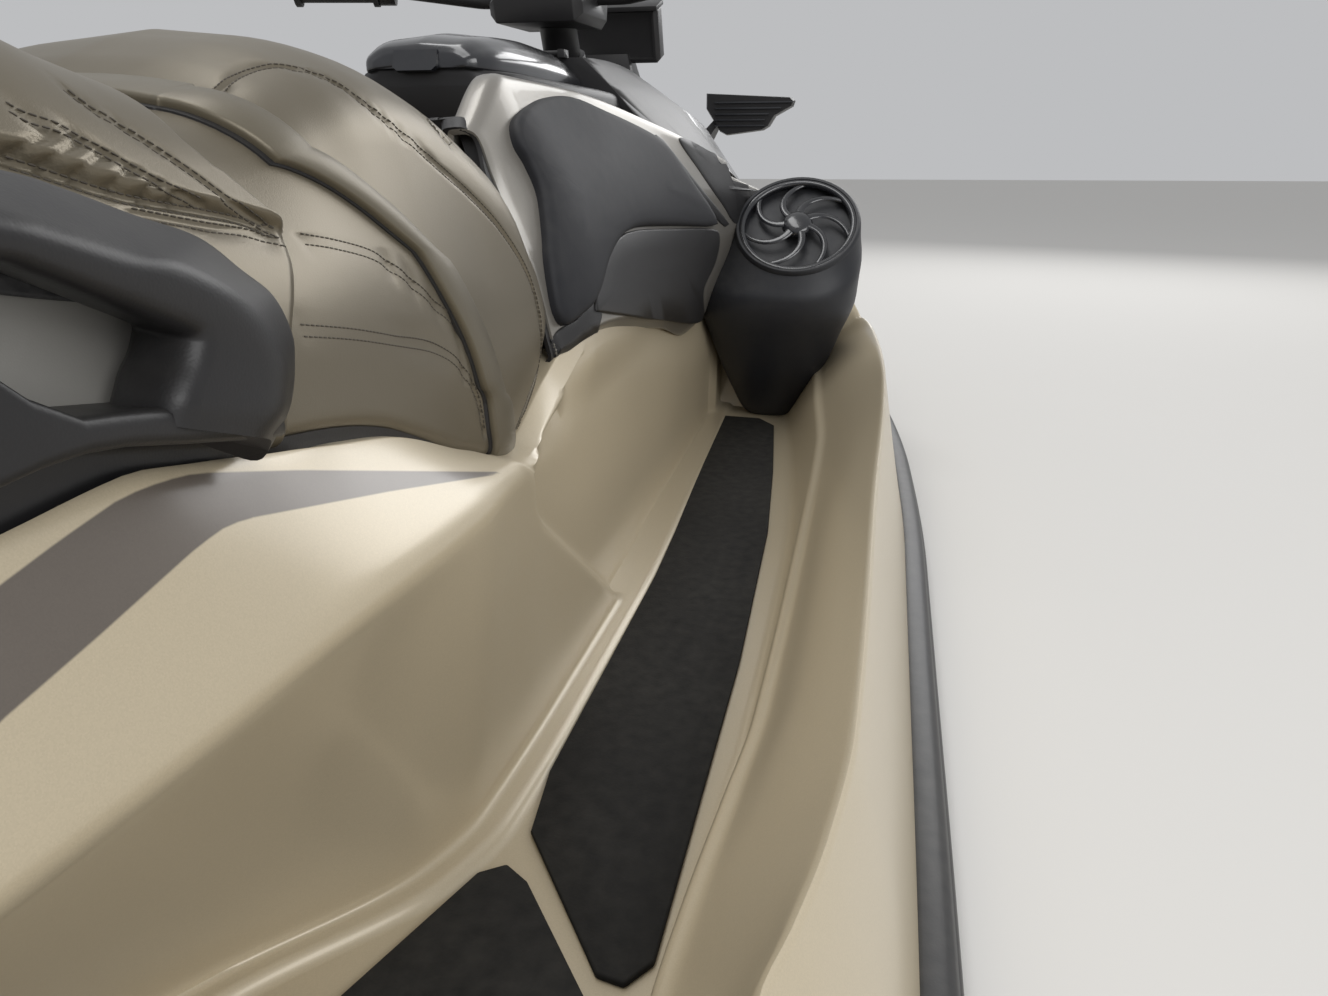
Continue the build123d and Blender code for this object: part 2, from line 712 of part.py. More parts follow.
def saddle_channel():
    """Space above the seat's nose, between the console's two wings."""
    outline = [(row[0] - 12, row[5] + seat_gap) for row in SEAT[:3]]
    outline[0] = (SEAT[0][0] + seat_gap, SEAT[0][5] + seat_gap)
    return plan_prism(outline + [(x, -y) for x, y in reversed(outline)], SEAT[0][2] + 60, 760)


def dash_section(x, low_y, low_z, side_y, side_z, top_y, top_z):
    return cross_face(x, [(low_y, low_z - 30), (low_y, low_z), (side_y, side_z), (top_y, top_z)])


def column_line():
    """Foot and direction of the raked steering column, and the head's middle."""
    rake = radians(steering_rake_deg)
    axis = Vector(-sin(rake), 0, cos(rake))
    top = Vector(bar_x, 0, bar_z - 6)
    return top, top - axis * column_length, axis


def make_dash(console):
    """Upper moulding round the steering column, with the collar and the lid's hinge ears."""
    _, foot, axis = column_line()
    dash = loft([dash_section(*row) for row in DASH])
    dash += rod(foot - axis * 60, foot - axis * part_gap, column_r + 7)
    x, z = lid_hinge()
    for side in (-1, 1):
        low = min(side * 60, side * 70)
        dash += block(x - 5, DASH[0][0] + 4, low, low + 10, z - 6, z + 5)
    dash += rod((x, -66, z), (x, 66, z), lid_pin_r)
    return dash - console


def lid_hinge():
    """Place of the glove box lid's hinge pin: x and z."""
    return glove_box_front_x - 5, glove_box_rim_z + 50


def make_glove_lid():
    """Domed glove box lid with its latch recess and front hinge knuckle."""
    x0, x1, w, z = glove_box_aft_x, glove_box_front_x, glove_box_half_width, glove_box_rim_z + part_gap
    rows = [(x0, w - 8, z, w - 18, z + 34), (x0 + 70, w - 2, z, w - 16, z + 52),
            (x0 + 190, w, z, w - 14, z + 58), (x1, w, z, w - 14, z + 52)]
    lid = loft([cross_face(x, [(a, b), (a, b + 14), (c, d)]) for x, a, b, c, d in rows])
    lid -= block(x0 + lid_wall, x1 - lid_wall, lid_wall - w, w - lid_wall, z - 5, z + 26)
    hx, hz = lid_hinge()
    lid -= rod((hx, -90, hz), (hx, 90, hz), 13)
    lid -= block(hx - 12, x1 + 5, -84, 84, hz, z + 80)
    lid += block(hx - 20, hx, -52, 52, hz - 8, hz) - rod((hx, -90, hz), (hx, 90, hz), 5)
    lid += rod((hx, -52, hz), (hx, 52, hz), 8)
    lid -= rod((hx, -90, hz), (hx, 90, hz), lid_pin_r + part_gap)
    latch = Plane(origin=(x0 + 2, 0, z + 20), x_dir=(0, 1, 0), z_dir=(-1, 0, 0)) * SlotOverall(44, 14)
    return lid + extrude(latch, amount=5)


def hood_hinge():
    """Place of the hood's hinge pin, just ahead of its front edge: x and z."""
    x = hood_to_x + 12
    return x, hood_plane_z(x) + 30


def make_hood():
    """Hollow hood lid with two hinge knuckles at its front edge."""
    hood = make_hood_blank()
    inner = make_hood_blank(-lid_wall)
    hood -= inner & block(hood_from_x + lid_wall, hood_to_x - 60, -400, 400, 0, 900)
    x, z = hood_hinge()
    for side in (-1, 1):
        low = min(side * 14, side * 32)
        hood += rod((x, low, z), (x, low + 18, z), hinge_r + 6)
        hood += block(hood_to_x - 30, x, low, low + 18, z - 12, z + 2) - rod((x, -60, z), (x, 60, z), 9)
    return hood - rod((x, -60, z), (x, 60, z), hinge_r + part_gap)


def make_hood_hinge(deck):
    """Hinge pin on three feet that stand on the foredeck."""
    x, z = hood_hinge()
    hinge = rod((x, -52, z), (x, 52, z), hinge_r)
    for y in (-46, 0, 46):
        hinge += block(x - 7, x + 9, y - 6, y + 6, z - 50, z)
    return hinge - deck


def make_display():
    """Gauge display: a tilted hooded box on a foot that stands on the hood."""
    box = Pos(588, 0, 784) * Rot(0, -18, 0) * Box(46, 204, 96)
    box = chamfer(box.edges(), 7)
    screen = Pos(588, 0, 784) * Rot(0, -18, 0) * Pos(-22, 0, 0) * Box(6, 180, 76)
    visor = Pos(588, 0, 784) * Rot(0, -18, 0) * Pos(-12, 0, 50) * Box(60, 212, 8)
    foot = loft([Pos(606, 0, 650) * Rectangle(110, 130), Pos(592, 0, 748) * Rectangle(50, 84)])
    return box - screen + visor + foot


def make_side_panel(console_blank, deck_blank):
    """Recessed trim below the knee pad, port side."""
    outline = [(30, 386), (120, 402), (330, 396), (400, 420), (464, 392), (464, 268), (290, 288),
               (0, 354), (-30, 360)]
    skin = (make_console_blank(6.0) - console_blank - deck_blank) & profile_prism(outline, 60, 400)
    return largest(skin)


def make_grab_rail():
    """Hand rail round the seat's tail, on two front feet and a rear post."""
    front = [(-990, 262, 440), (-1014, 284, 496), (-1100, 290, 536), (-1196, 262, 558), (-1236, 150, 568)]
    points = front + [(x, -y, z) for x, y, z in reversed(front)]
    path = FilletPolyline(*points, radius=[26, 70, 70, 60, 60, 70, 70, 26])
    start = path @ 0
    section = Plane(origin=start, z_dir=path % 0, x_dir=(0, 1, 0)) * RectangleRounded(
        rail_bar_width, rail_bar_height, 12)
    rail = sweep(section, path=path, transition=Transition.RIGHT)
    rail += loft([Pos(-1196, 0, 446) * Rectangle(60, 190), Pos(-1230, 0, 560) * Rectangle(30, 150)])
    return rail


def make_seat_base():
    """Dark moulding round the seat's tail, with a ledge that carries the grab rail."""
    # Station x, half-width and low z of the wall, half-width, low z and top z of the ledge over it
    rows = [(-1232, 118, 416, 124, 446, 472), (-1180, 226, 408, 252, 456, 476), (-1080, 246, 404, 278, 458, 476),
            (-985, 249, 398, 281, 448, 464), (-950, 248, 396, 262, 434, 446), (-900, 247, 390, 250, 416, 428),
            (-830, 241, 374, 243, 386, 397)]
    return loft([cross_face(x, [(wall, low), (wall, under - 4), (out, under), (out - 2, top)])
                 for x, wall, low, out, under, top in rows], ruled=True)


def make_step():
    """Folding boarding step: a U of tube with a tread on its crossbar and an eye at each foot."""
    z0, z1 = step_pivot_z, step_pivot_z + step_height
    points = [(step_x, -step_half_width, z0), (step_x, -step_half_width, z1),
              (step_x, step_half_width, z1), (step_x, step_half_width, z0)]
    step = tube_along(points, step_tube_r, 40)
    for side in (-1, 1):
        step += rod((step_x, side * step_half_width - 10, z0), (step_x, side * step_half_width + 10, z0), 17)
        step -= rod((step_x, side * step_half_width - 30, z0), (step_x, side * step_half_width + 30, z0),
                    bucket_pin_r + part_gap)
    tread = block(step_x - 20, step_x + 20, -100, 100, z1 - 17, z1 - 5)
    return step + tread


def make_step_brackets():
    """Two brackets on the transom, each with a pin for the step's foot."""
    brackets = []
    for side in (-1, 1):
        inner = side * (step_half_width - 24)
        low = min(inner, inner + side * 10)
        plate = block(step_x - 16, transom_x, low, low + 10, step_pivot_z - 18, step_pivot_z + 18)
        plate += rod((step_x, inner, step_pivot_z), (step_x, side * (step_half_width + 14), step_pivot_z),
                     bucket_pin_r)
        plate += block(transom_x - 6, transom_x, inner - 20, inner + 20, step_pivot_z - 24, step_pivot_z + 24)
        brackets.append(plate)
    return brackets[0] + brackets[1]


def make_eye(x, y, z):
    """Lifting eye: a round lug with its hole across the craft."""
    eye = rod((x, y - eye_thickness / 2, z), (x, y + eye_thickness / 2, z), eye_r)
    return eye - rod((x, y - eye_thickness, z), (x, y + eye_thickness, z), eye_hole_r)


def save(name, *shapes):
    solids = [solid for shape in shapes for solid in shape.solids()]
    shape = solids[0] if len(solids) == 1 else Compound(children=solids)
    export_step(shape, f"parts/{name}.step")


hull_blank = make_hull_blank()
deck_blank = make_deck_blank()
console_blank = make_console_blank()
seat_blank = make_seat_blank()
under = below_sheer()
tunnel = make_tunnel()
bay = engine_bay()

# Hull and deck
hull = largest((hull_blank & under) - tunnel - bay - front_bin())
deck = (deck_blank - under) - bay - front_bin() - hood_room()
for side in (-1, 1):
    deck -= rod((anchor_x, side * anchor_y, floor_z + 20),
                (anchor_x, side * anchor_y, floor_z - anchor_depth), anchor_r)
deck = largest(deck)
save("hull", hull)
save("deck", deck)
save("engine_block", block(engine_aft_x, engine_aft_x + engine_length, -engine_width / 2, engine_width / 2,
                           engine_floor_z, engine_floor_z + engine_height))

# Rub rail and bow bumper
rail = loft([side_face(x, [(y - 26, z - rail_half_height), (y + rail_proud, z - rail_half_height + 6),
                           (y + rail_proud, z + rail_half_height - 6), (y - 26, z + rail_half_height)])
             for x, y, z in SHEER])
rail = largest(rail - hull - deck)
save("rub_rail_left", rail)
save("rub_rail_right", mirrored(rail))
nose_x, nose_y, nose_z = SHEER[-1]
nose_arc = ThreePointArc((nose_x, -nose_y - rail_proud, nose_z - 24), (bow_x, 0, nose_z - 24),
                         (nose_x, nose_y + rail_proud, nose_z - 24))
nose = extrude(make_face([nose_arc, Line(nose_arc @ 1, nose_arc @ 0)]), amount=48, dir=(0, 0, 1))
save("bow_bumper", nose)

# Console, dash and glove box
console = console_blank - deck_blank - make_seat_blank(seat_gap) - hood_room() - saddle_channel()
console += block(glove_box_aft_x, glove_box_front_x, -glove_box_half_width - 4, glove_box_half_width + 4,
                 600, glove_box_rim_z)
console = largest(console - glove_bin() - bay)
save("console", console)
save("dash", largest(make_dash(console) - hood_room()))
save("glove_box_lid", make_glove_lid())

# Seat
seat = seat_blank - deck_blank
front_seat = largest(seat - behind_strap())
rear_seat = largest(seat & behind_strap())
strap = (make_seat_blank(strap_thickness) - seat_blank - deck_blank) & strap_slab(strap_width)
save("driver_seat", front_seat)
save("passenger_seat", rear_seat)
save("seat_strap", largest(strap - console))

# Seat tail and grab rail
seat_base = largest(make_seat_base() - deck_blank - seat_blank)
save("seat_base", seat_base)
save("grab_rail", largest(make_grab_rail() - seat_base - seat_blank - deck_blank))

# Trim on the console's sides
knee = profile_prism(KNEE_PAD, 60, 400) & (make_console_blank(10.0) - console_blank - deck_blank)
knee = largest(knee - make_seat_blank(seat_gap))
panel = make_side_panel(console_blank, deck_blank)
save("knee_pad_left", knee)
save("knee_pad_right", mirrored(knee))
save("side_panels", panel, mirrored(panel))

# Hood, display and mirrors
hood = largest(make_hood())
display = largest(make_display() - make_hood_blank())
door_mirror = largest(make_mirror() - make_hood_blank())
save("hood_lid", hood)
save("hood_hinge", make_hood_hinge(deck))
save("gauge_display", display)
save("mirror_left", door_mirror)
save("mirror_right", mirrored(door_mirror))

# Speaker pods
pod = largest(make_pod() - deck_blank - console_blank - hull_blank - panel)
grille = make_grille()
save("speaker_pod_left", pod)
save("speaker_pod_right", mirrored(pod))
save("speaker_grilles", grille, mirrored(grille))

# Foot mats
front_mat = plan_prism(FRONT_MAT, floor_z, floor_z + mat_thickness)
aft_outline = AFT_MAT + [(x, -y) for x, y in reversed(AFT_MAT) if y > 0]
band_reach = anchor_r + anchor_margin
anchor_band = block(anchor_x - band_reach, anchor_x + band_reach, -3 * anchor_y, 3 * anchor_y,
                    floor_z - mat_thickness, floor_z + 3 * mat_thickness)
aft_mat = plan_prism(aft_outline, floor_z, floor_z + mat_thickness) - deck_blank - anchor_band
aft_panels = sorted(aft_mat.solids(), key=lambda panel: panel.volume)[-2:]
save("foot_mat_left", front_mat)
save("foot_mat_right", mirrored(front_mat))
save("platform_mat", *aft_panels)

# Steering
grips = {side: make_grip(side) for side in (-1, 1)}
levers = {side: make_lever(side) for side in (-1, 1)}
save("steering_head", make_steering_head())
save("handlebar", make_handlebar())
for side, word in ((1, "left"), (-1, "right")):
    save(f"grip_{word}", grips[side])
    save(f"lever_{word}", levers[side])

# Jet drive
save("pump_housing", make_pump())
save("impeller", make_impeller())
save("steering_nozzle", make_nozzle())
save("reverse_bucket", make_bucket())
save("intake_grate", make_grate())
save("ride_plate", make_ride_plate())

# Hull fittings
sponson = largest(make_sponson(hull_blank))
save("sponsons", sponson, mirrored(sponson))
save("boarding_step", make_step())
save("step_brackets", make_step_brackets())
save("bow_eye", largest(make_eye(1608, 0, 66) - hull_blank))
stern_eye = make_eye(transom_x - 16, 300, -40) - hull_blank
save("stern_eyes", stern_eye, mirrored(stern_eye))
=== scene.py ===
import json
import math

import bmesh
import bpy
from mathutils import Matrix, Vector
from mathutils.bvhtree import BVHTree
from mathutils.kdtree import KDTree

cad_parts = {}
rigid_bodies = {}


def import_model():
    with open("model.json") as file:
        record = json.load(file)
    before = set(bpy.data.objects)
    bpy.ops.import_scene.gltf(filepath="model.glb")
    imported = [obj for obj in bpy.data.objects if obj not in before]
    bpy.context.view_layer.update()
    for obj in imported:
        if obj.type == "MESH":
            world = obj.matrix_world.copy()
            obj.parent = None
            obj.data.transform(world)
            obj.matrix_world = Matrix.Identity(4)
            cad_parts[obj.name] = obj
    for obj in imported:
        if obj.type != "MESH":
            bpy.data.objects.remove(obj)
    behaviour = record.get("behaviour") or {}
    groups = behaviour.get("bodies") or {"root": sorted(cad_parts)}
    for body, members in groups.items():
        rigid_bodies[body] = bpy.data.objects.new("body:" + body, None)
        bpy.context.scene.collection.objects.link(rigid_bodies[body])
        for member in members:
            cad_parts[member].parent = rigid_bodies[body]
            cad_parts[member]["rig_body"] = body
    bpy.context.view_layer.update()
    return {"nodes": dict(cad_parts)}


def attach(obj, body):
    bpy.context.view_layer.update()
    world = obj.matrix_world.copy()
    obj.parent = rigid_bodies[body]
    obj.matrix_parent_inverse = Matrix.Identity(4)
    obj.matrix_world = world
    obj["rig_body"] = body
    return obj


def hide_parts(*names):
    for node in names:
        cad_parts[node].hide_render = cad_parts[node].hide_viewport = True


# Looks of a personal watercraft for three riders. Metres, +X forward, +Y to port, +Z up.

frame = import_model()
bpy.ops.object.select_all(action="DESELECT")

# The photograph's frame and the camera's place
PHOTO_WIDTH = 1328
PHOTO_HEIGHT = 996
FOCAL_PX = 960.0
SENSOR_MM = 36.0
EYE = Vector((-1.35, -0.5375, 0.56))
LOOK_DOWN_DEG = 19.4
LOOK_LEFT_DEG = 12.5
CLIP_FROM = 0.02
WATERLINE_Z = 0.0

# A length beyond any that is met, how far a rounding eats into a side, and gaps that count as none
FAR = 1e9
SECTION_ROUND_SHARE = 0.45
RING_ROUND_SHARE = 0.42
NO_LENGTH = 1e-9
DOUBLE_GAP = 1e-6

# Deck lines, each as station x, half-breadth y and height z; those on the footwell's floor have no z
FLOOR_Z = 0.060
SHEER = [
    (-1.700, 0.572, 0.032), (-1.640, 0.584, 0.032), (-1.250, 0.608, 0.032), (-1.000, 0.613, 0.032),
    (-0.600, 0.615, 0.032), (-0.100, 0.615, 0.036), (0.300, 0.599, 0.050), (0.680, 0.545, 0.082),
    (0.850, 0.503, 0.105), (1.050, 0.432, 0.135), (1.300, 0.321, 0.172), (1.500, 0.205, 0.200),
    (1.690, 0.064, 0.222),
]
RIDGE = [
    (-1.700, 0.515, 0.084), (-1.500, 0.520, 0.118), (-1.250, 0.512, 0.190), (-1.034, 0.508, 0.222),
    (-0.989, 0.519, 0.225), (-0.923, 0.532, 0.225), (-0.817, 0.543, 0.225), (-0.621, 0.547, 0.225),
    (-0.380, 0.549, 0.225), (0.076, 0.556, 0.232), (0.200, 0.555, 0.240), (0.600, 0.530, 0.250),
    (0.680, 0.497, 0.268), (0.850, 0.440, 0.285), (1.050, 0.365, 0.300), (1.300, 0.262, 0.312),
    (1.500, 0.160, 0.310), (1.690, 0.045, 0.290),
]
SLOPE_LINE = [
    (-1.700, 0.500, 0.081), (-1.250, 0.482, 0.160), (-1.000, 0.489, 0.180), (-0.850, 0.502, 0.181),
    (-0.600, 0.503, 0.181), (-0.300, 0.502, 0.181), (0.076, 0.512, 0.187), (0.400, 0.492, 0.205),
    (0.680, 0.455, 0.225),
]
SHOULDER = [
    (-1.700, 0.486, 0.076), (-1.250, 0.453, 0.122), (-0.955, 0.454, 0.130), (-0.881, 0.457, 0.130),
    (-0.770, 0.465, 0.130), (-0.657, 0.473, 0.130), (-0.494, 0.474, 0.130), (-0.093, 0.472, 0.131),
    (0.147, 0.468, 0.136), (0.400, 0.446, 0.152), (0.680, 0.424, 0.185),
]
FLOOR_OUT = [
    (-1.700, 0.472), (-1.500, 0.448), (-1.200, 0.442), (-0.900, 0.440), (-0.600, 0.452), (-0.200, 0.446),
    (0.200, 0.414), (0.560, 0.370), (0.680, 0.355),
]
FOOT = [
    (-1.165, 0.040), (-1.040, 0.096), (-0.950, 0.150), (-0.830, 0.238), (-0.760, 0.256), (-0.600, 0.260),
    (-0.350, 0.260), (0.000, 0.247), (0.340, 0.232), (0.560, 0.222), (0.680, 0.216),
]
HIP = [
    (-1.165, 0.286, 0.340), (-1.040, 0.298, 0.344), (-0.920, 0.300, 0.346), (-0.800, 0.296, 0.344),
    (-0.680, 0.278, 0.335), (-0.560, 0.256, 0.300), (-0.440, 0.246, 0.300), (-0.310, 0.242, 0.330),
    (-0.160, 0.241, 0.322), (0.000, 0.239, 0.300), (0.160, 0.238, 0.266), (0.330, 0.234, 0.236),
    (0.505, 0.228, 0.214), (0.680, 0.222, 0.202),
]
SEAT_LEDGE = [
    (-1.165, 0.246, 0.440), (-1.100, 0.2495, 0.446), (-1.045, 0.2495, 0.449), (-1.000, 0.249, 0.440),
    (-0.940, 0.246, 0.424), (-0.880, 0.241, 0.408), (-0.800, 0.237, 0.390), (-0.680, 0.230, 0.346),
    (-0.560, 0.214, 0.312), (-0.440, 0.212, 0.352), (-0.310, 0.216, 0.392), (-0.160, 0.217, 0.380),
    (0.000, 0.216, 0.362), (0.160, 0.214, 0.330), (0.330, 0.210, 0.302), (0.505, 0.204, 0.298),
    (0.680, 0.196, 0.298),
]
COWL = [
    (0.680, 0.275, 0.512), (0.850, 0.262, 0.480), (1.050, 0.228, 0.442), (1.300, 0.150, 0.394),
    (1.500, 0.080, 0.352), (1.690, 0.020, 0.296),
]

# Console: station x, then y and z of the lower edge, the bulge and the crest
CONSOLE = [
    (-0.400, 0.214, 0.366, 0.196, 0.460, 0.132, 0.590), (-0.300, 0.232, 0.384, 0.206, 0.500, 0.128, 0.648),
    (-0.110, 0.236, 0.366, 0.222, 0.500, 0.150, 0.643), (0.080, 0.234, 0.338, 0.240, 0.485, 0.198, 0.616),
    (0.270, 0.230, 0.296, 0.258, 0.455, 0.240, 0.584), (0.470, 0.214, 0.284, 0.264, 0.425, 0.258, 0.558),
    (0.680, 0.200, 0.284, 0.276, 0.405, 0.308, 0.506),
]

# Seat: station x, then y and z of the lower edge, the side, the shoulder and the crown, and the top's z
SEAT = [
    (-1.150, 0.222, 0.428, 0.210, 0.500, 0.156, 0.606, 0.080, 0.656, 0.664),
    (-1.070, 0.234, 0.428, 0.218, 0.505, 0.162, 0.606, 0.084, 0.654, 0.662),
    (-0.990, 0.238, 0.425, 0.222, 0.500, 0.163, 0.598, 0.084, 0.638, 0.646),
    (-0.920, 0.238, 0.418, 0.222, 0.496, 0.162, 0.584, 0.084, 0.610, 0.617),
    (-0.860, 0.236, 0.408, 0.222, 0.490, 0.161, 0.578, 0.084, 0.593, 0.599),
    (-0.800, 0.232, 0.392, 0.221, 0.480, 0.162, 0.590, 0.086, 0.600, 0.604),
    (-0.750, 0.229, 0.372, 0.220, 0.466, 0.163, 0.600, 0.090, 0.623, 0.627),
    (-0.700, 0.225, 0.350, 0.219, 0.454, 0.166, 0.606, 0.094, 0.638, 0.644),
    (-0.655, 0.221, 0.332, 0.219, 0.440, 0.168, 0.606, 0.098, 0.643, 0.652),
    (-0.610, 0.219, 0.316, 0.218, 0.430, 0.170, 0.600, 0.102, 0.640, 0.649),
    (-0.550, 0.215, 0.306, 0.217, 0.410, 0.176, 0.582, 0.108, 0.626, 0.636),
    (-0.500, 0.209, 0.312, 0.216, 0.404, 0.187, 0.553, 0.114, 0.605, 0.618),
    (-0.455, 0.205, 0.334, 0.214, 0.404, 0.196, 0.518, 0.122, 0.584, 0.604),
    (-0.424, 0.198, 0.362, 0.212, 0.404, 0.200, 0.466, 0.122, 0.560, 0.594),
    (-0.410, 0.172, 0.392, 0.178, 0.418, 0.164, 0.462, 0.104, 0.546, 0.590),
    (-0.392, 0.122, 0.440, 0.122, 0.460, 0.116, 0.500, 0.098, 0.540, 0.588),
    (-0.290, 0.106, 0.470, 0.106, 0.490, 0.100, 0.520, 0.086, 0.546, 0.582),
    (-0.205, 0.092, 0.490, 0.092, 0.505, 0.088, 0.530, 0.078, 0.550, 0.578),
]

# Hood plane and the bin under the hood
HOOD_FROM_X = 0.462
HOOD_TO_X = 1.330
HOOD_FROM_Z = 0.540
HOOD_TO_Z = 0.375
BIN_FROM_X = 0.715
BIN_TO_X = 1.215
BIN_HALF_WIDTH = 0.150
BIN_FLOOR_Z = 0.041


def slope_at(table, index, column):
    """Slope of one column at a row, flat at its peaks, so that the curve never overshoots."""
    if index == 0:
        return (table[1][column] - table[0][column]) / (table[1][0] - table[0][0])
    if index == len(table) - 1:
        return (table[-1][column] - table[-2][column]) / (table[-1][0] - table[-2][0])
    before, here, after = table[index - 1:index + 2]
    low = (here[column] - before[column]) / (here[0] - before[0])
    high = (after[column] - here[column]) / (after[0] - here[0])
    if low * high <= 0:
        return 0.0
    return 2 * low * high / (low + high)


def row_at(table, x):
    """Values of a table at station x, on a smooth curve through its rows."""
    x = min(max(x, table[0][0]), table[-1][0])
    for index, (low, high) in enumerate(zip(table, table[1:])):
        if x <= high[0]:
            break
    span = high[0] - low[0]
    t = (x - low[0]) / span
    values = []
    for column in range(1, len(low)):
        a, b = low[column], high[column]
        da = slope_at(table, index, column) * span
        db = slope_at(table, index + 1, column) * span
        values.append(a + t * (da + t * (3 * (b - a) - 2 * da - db + t * (2 * (a - b) + da + db))))
    return values


def smooth(low, high, value):
    """Soft step from 0 at low to 1 at high."""
    t = min(max((value - low) / (high - low), 0.0), 1.0)
    return t * t * (3 - 2 * t)


def mix(a, b, share):
    return a + (b - a) * share


def bent(start, corner, end, t):
    """Point at share t of the rounding from start to end round a corner."""
    return start.lerp(corner, t).lerp(corner.lerp(end, t), t)


def turns(count):
    """Angles of even steps round a full turn."""
    return [2 * math.pi * k / count for k in range(count)]


def rounded_section(corners, runs, arc=4):
    """Points along a polyline in a plane. Corners are (y, z, radius); runs says into how many steps each
    side is divided, so that every section of a skin has as many points."""
    points = [Vector(c[:2]) for c in corners]
    cuts = []
    for i, corner in enumerate(points):
        if i in (0, len(points) - 1) or corners[i][2] <= 0:
            cuts.append((corner, corner))
            continue
        back = points[i - 1] - corner
        ahead = points[i + 1] - corner
        reach = min(corners[i][2], SECTION_ROUND_SHARE * back.length, SECTION_ROUND_SHARE * ahead.length)
        cuts.append((corner + back.normalized() * reach if back.length > NO_LENGTH else corner,
                     corner + ahead.normalized() * reach if ahead.length > NO_LENGTH else corner))
    section = [points[0]]
    for i in range(1, len(points)):
        start, end = cuts[i - 1][1], cuts[i][0]
        for step in range(1, runs[i - 1] + 1):
            section.append(start.lerp(end, step / runs[i - 1]))
        if i < len(points) - 1:
            section += [bent(cuts[i][0], points[i], cuts[i][1], step / arc) for step in range(1, arc + 1)]
    return section


def stations(*spans):
    """Stations from spans of (start, end, step)."""
    found = []
    for start, end, step in spans:
        count = max(1, round((end - start) / step))
        found += [start + (end - start) * i / count for i in range(count)]
    return found + [spans[-1][1]]


def piece_on(name, mesh, material, angle):
    """Object at the origin on a mesh, with its material, smooth where it turns by less than the angle."""
    piece = bpy.data.objects.new(name, mesh)
    bpy.context.scene.collection.objects.link(piece)
    mesh.materials.append(material)
    smooth_piece(piece, angle)
    return piece


def new_piece(name, points, faces, material, angle):
    """Piece from its points and faces."""
    mesh = bpy.data.meshes.new(name)
    mesh.from_pydata([tuple(p) for p in points], [], faces)
    return piece_on(name, mesh, material, angle)


def piece_of(work, name, material, angle):
    """Piece from a finished bmesh, its faces turned outwards."""
    bmesh.ops.recalc_face_normals(work, faces=work.faces)
    mesh = bpy.data.meshes.new(name)
    work.to_mesh(mesh)
    work.free()
    return piece_on(name, mesh, material, angle)


def only(piece):
    """Makes one piece the active and the only selected one."""
    bpy.ops.object.select_all(action="DESELECT")
    piece.select_set(True)
    bpy.context.view_layer.objects.active = piece


def smooth_piece(piece, angle):
    only(piece)
    bpy.ops.object.shade_smooth_by_angle(angle=math.radians(angle))


def thicken(piece, thickness, offset):
    """Gives an open skin its thickness."""
    only(piece)
    bpy.ops.object.modifier_add(type="SOLIDIFY")
    piece.modifiers[-1].thickness = thickness
    piece.modifiers[-1].offset = offset
    bpy.ops.object.modifier_apply(modifier=piece.modifiers[-1].name)


def ease_edges(piece, width, segments, angle):
    """Rounds the edges of a piece that turn by more than the angle."""
    only(piece)
    bpy.ops.object.modifier_add(type="BEVEL")
    bevel = piece.modifiers[-1]
    bevel.width = width
    bevel.segments = segments
    bevel.limit_method = "ANGLE"
    bevel.angle_limit = math.radians(angle)
    bpy.ops.object.modifier_apply(modifier=bevel.name)


def join_into(piece, extra):
    """Makes an extra object part of a piece."""
    only(extra)
    piece.select_set(True)
    bpy.context.view_layer.objects.active = piece
    bpy.ops.object.join()


def strip_faces(row_count, count, closed=True, caps=False):
    """Faces between rows of equally many points, numbered row by row, and over both ends if caps is set."""
    faces = []
    for r in range(row_count - 1):
        for c in range(count if closed else count - 1):
            d = (c + 1) % count
            faces.append((r * count + c, r * count + d, (r + 1) * count + d, (r + 1) * count + c))
    if caps:
        faces.append(tuple(range(count - 1, -1, -1)))
        faces.append(tuple(range((row_count - 1) * count, row_count * count)))
    return faces


def skin(name, rows, material, closed=True, caps=True, angle=35.0):
    """Piece over rows of equally many points, its ends closed where caps is set."""
    faces = strip_faces(len(rows), len(rows[0]), closed, caps)
    piece = new_piece(name, [p for row in rows for p in row], faces, material, angle)
    set_outward(piece)
    return piece


def set_outward(piece):
    """Merges doubles and turns all faces outwards."""
    work = bmesh.new()
    work.from_mesh(piece.data)
    bmesh.ops.remove_doubles(work, verts=work.verts, dist=DOUBLE_GAP)
    bmesh.ops.recalc_face_normals(work, faces=work.faces)
    work.to_mesh(piece.data)
    work.free()


def both_halves(half):
    """Closed section across the craft from the points of its port half, which end at the centreline."""
    return half + [(x, -y, z) for x, y, z in reversed(half[:-1])]


def whole_section(x, half):
    """The same from (y, z) points at station x."""
    return both_halves([(x, p[0], p[1]) for p in half])


def mirrored_piece(piece, name):
    """Copy of a starboard or port piece on the other side."""
    copy = piece.copy()
    copy.data = piece.data.copy()
    copy.name = name
    bpy.context.scene.collection.objects.link(copy)
    copy.data.transform(Matrix.Scale(-1, 4, (0, 1, 0)))
    copy.data.flip_normals()
    return copy


def surface_of(piece):
    """Search tree over a piece's final mesh."""
    graph = bpy.context.evaluated_depsgraph_get()
    return BVHTree.FromObject(piece, graph)


# Camera

def make_camera():
    down = math.radians(LOOK_DOWN_DEG)
    left = math.radians(LOOK_LEFT_DEG)
    look = Vector((math.cos(down) * math.cos(left), math.cos(down) * math.sin(left), -math.sin(down)))
    bpy.ops.object.camera_add(location=EYE, rotation=look.to_track_quat("-Z", "Y").to_euler())
    camera = bpy.context.active_object
    camera.name = "camera"
    camera.data.sensor_width = SENSOR_MM
    camera.data.lens = SENSOR_MM * FOCAL_PX / PHOTO_WIDTH
    camera.data.clip_start = CLIP_FROM
    bpy.context.scene.camera = camera
    bpy.context.view_layer.update()
    return camera


camera = make_camera()


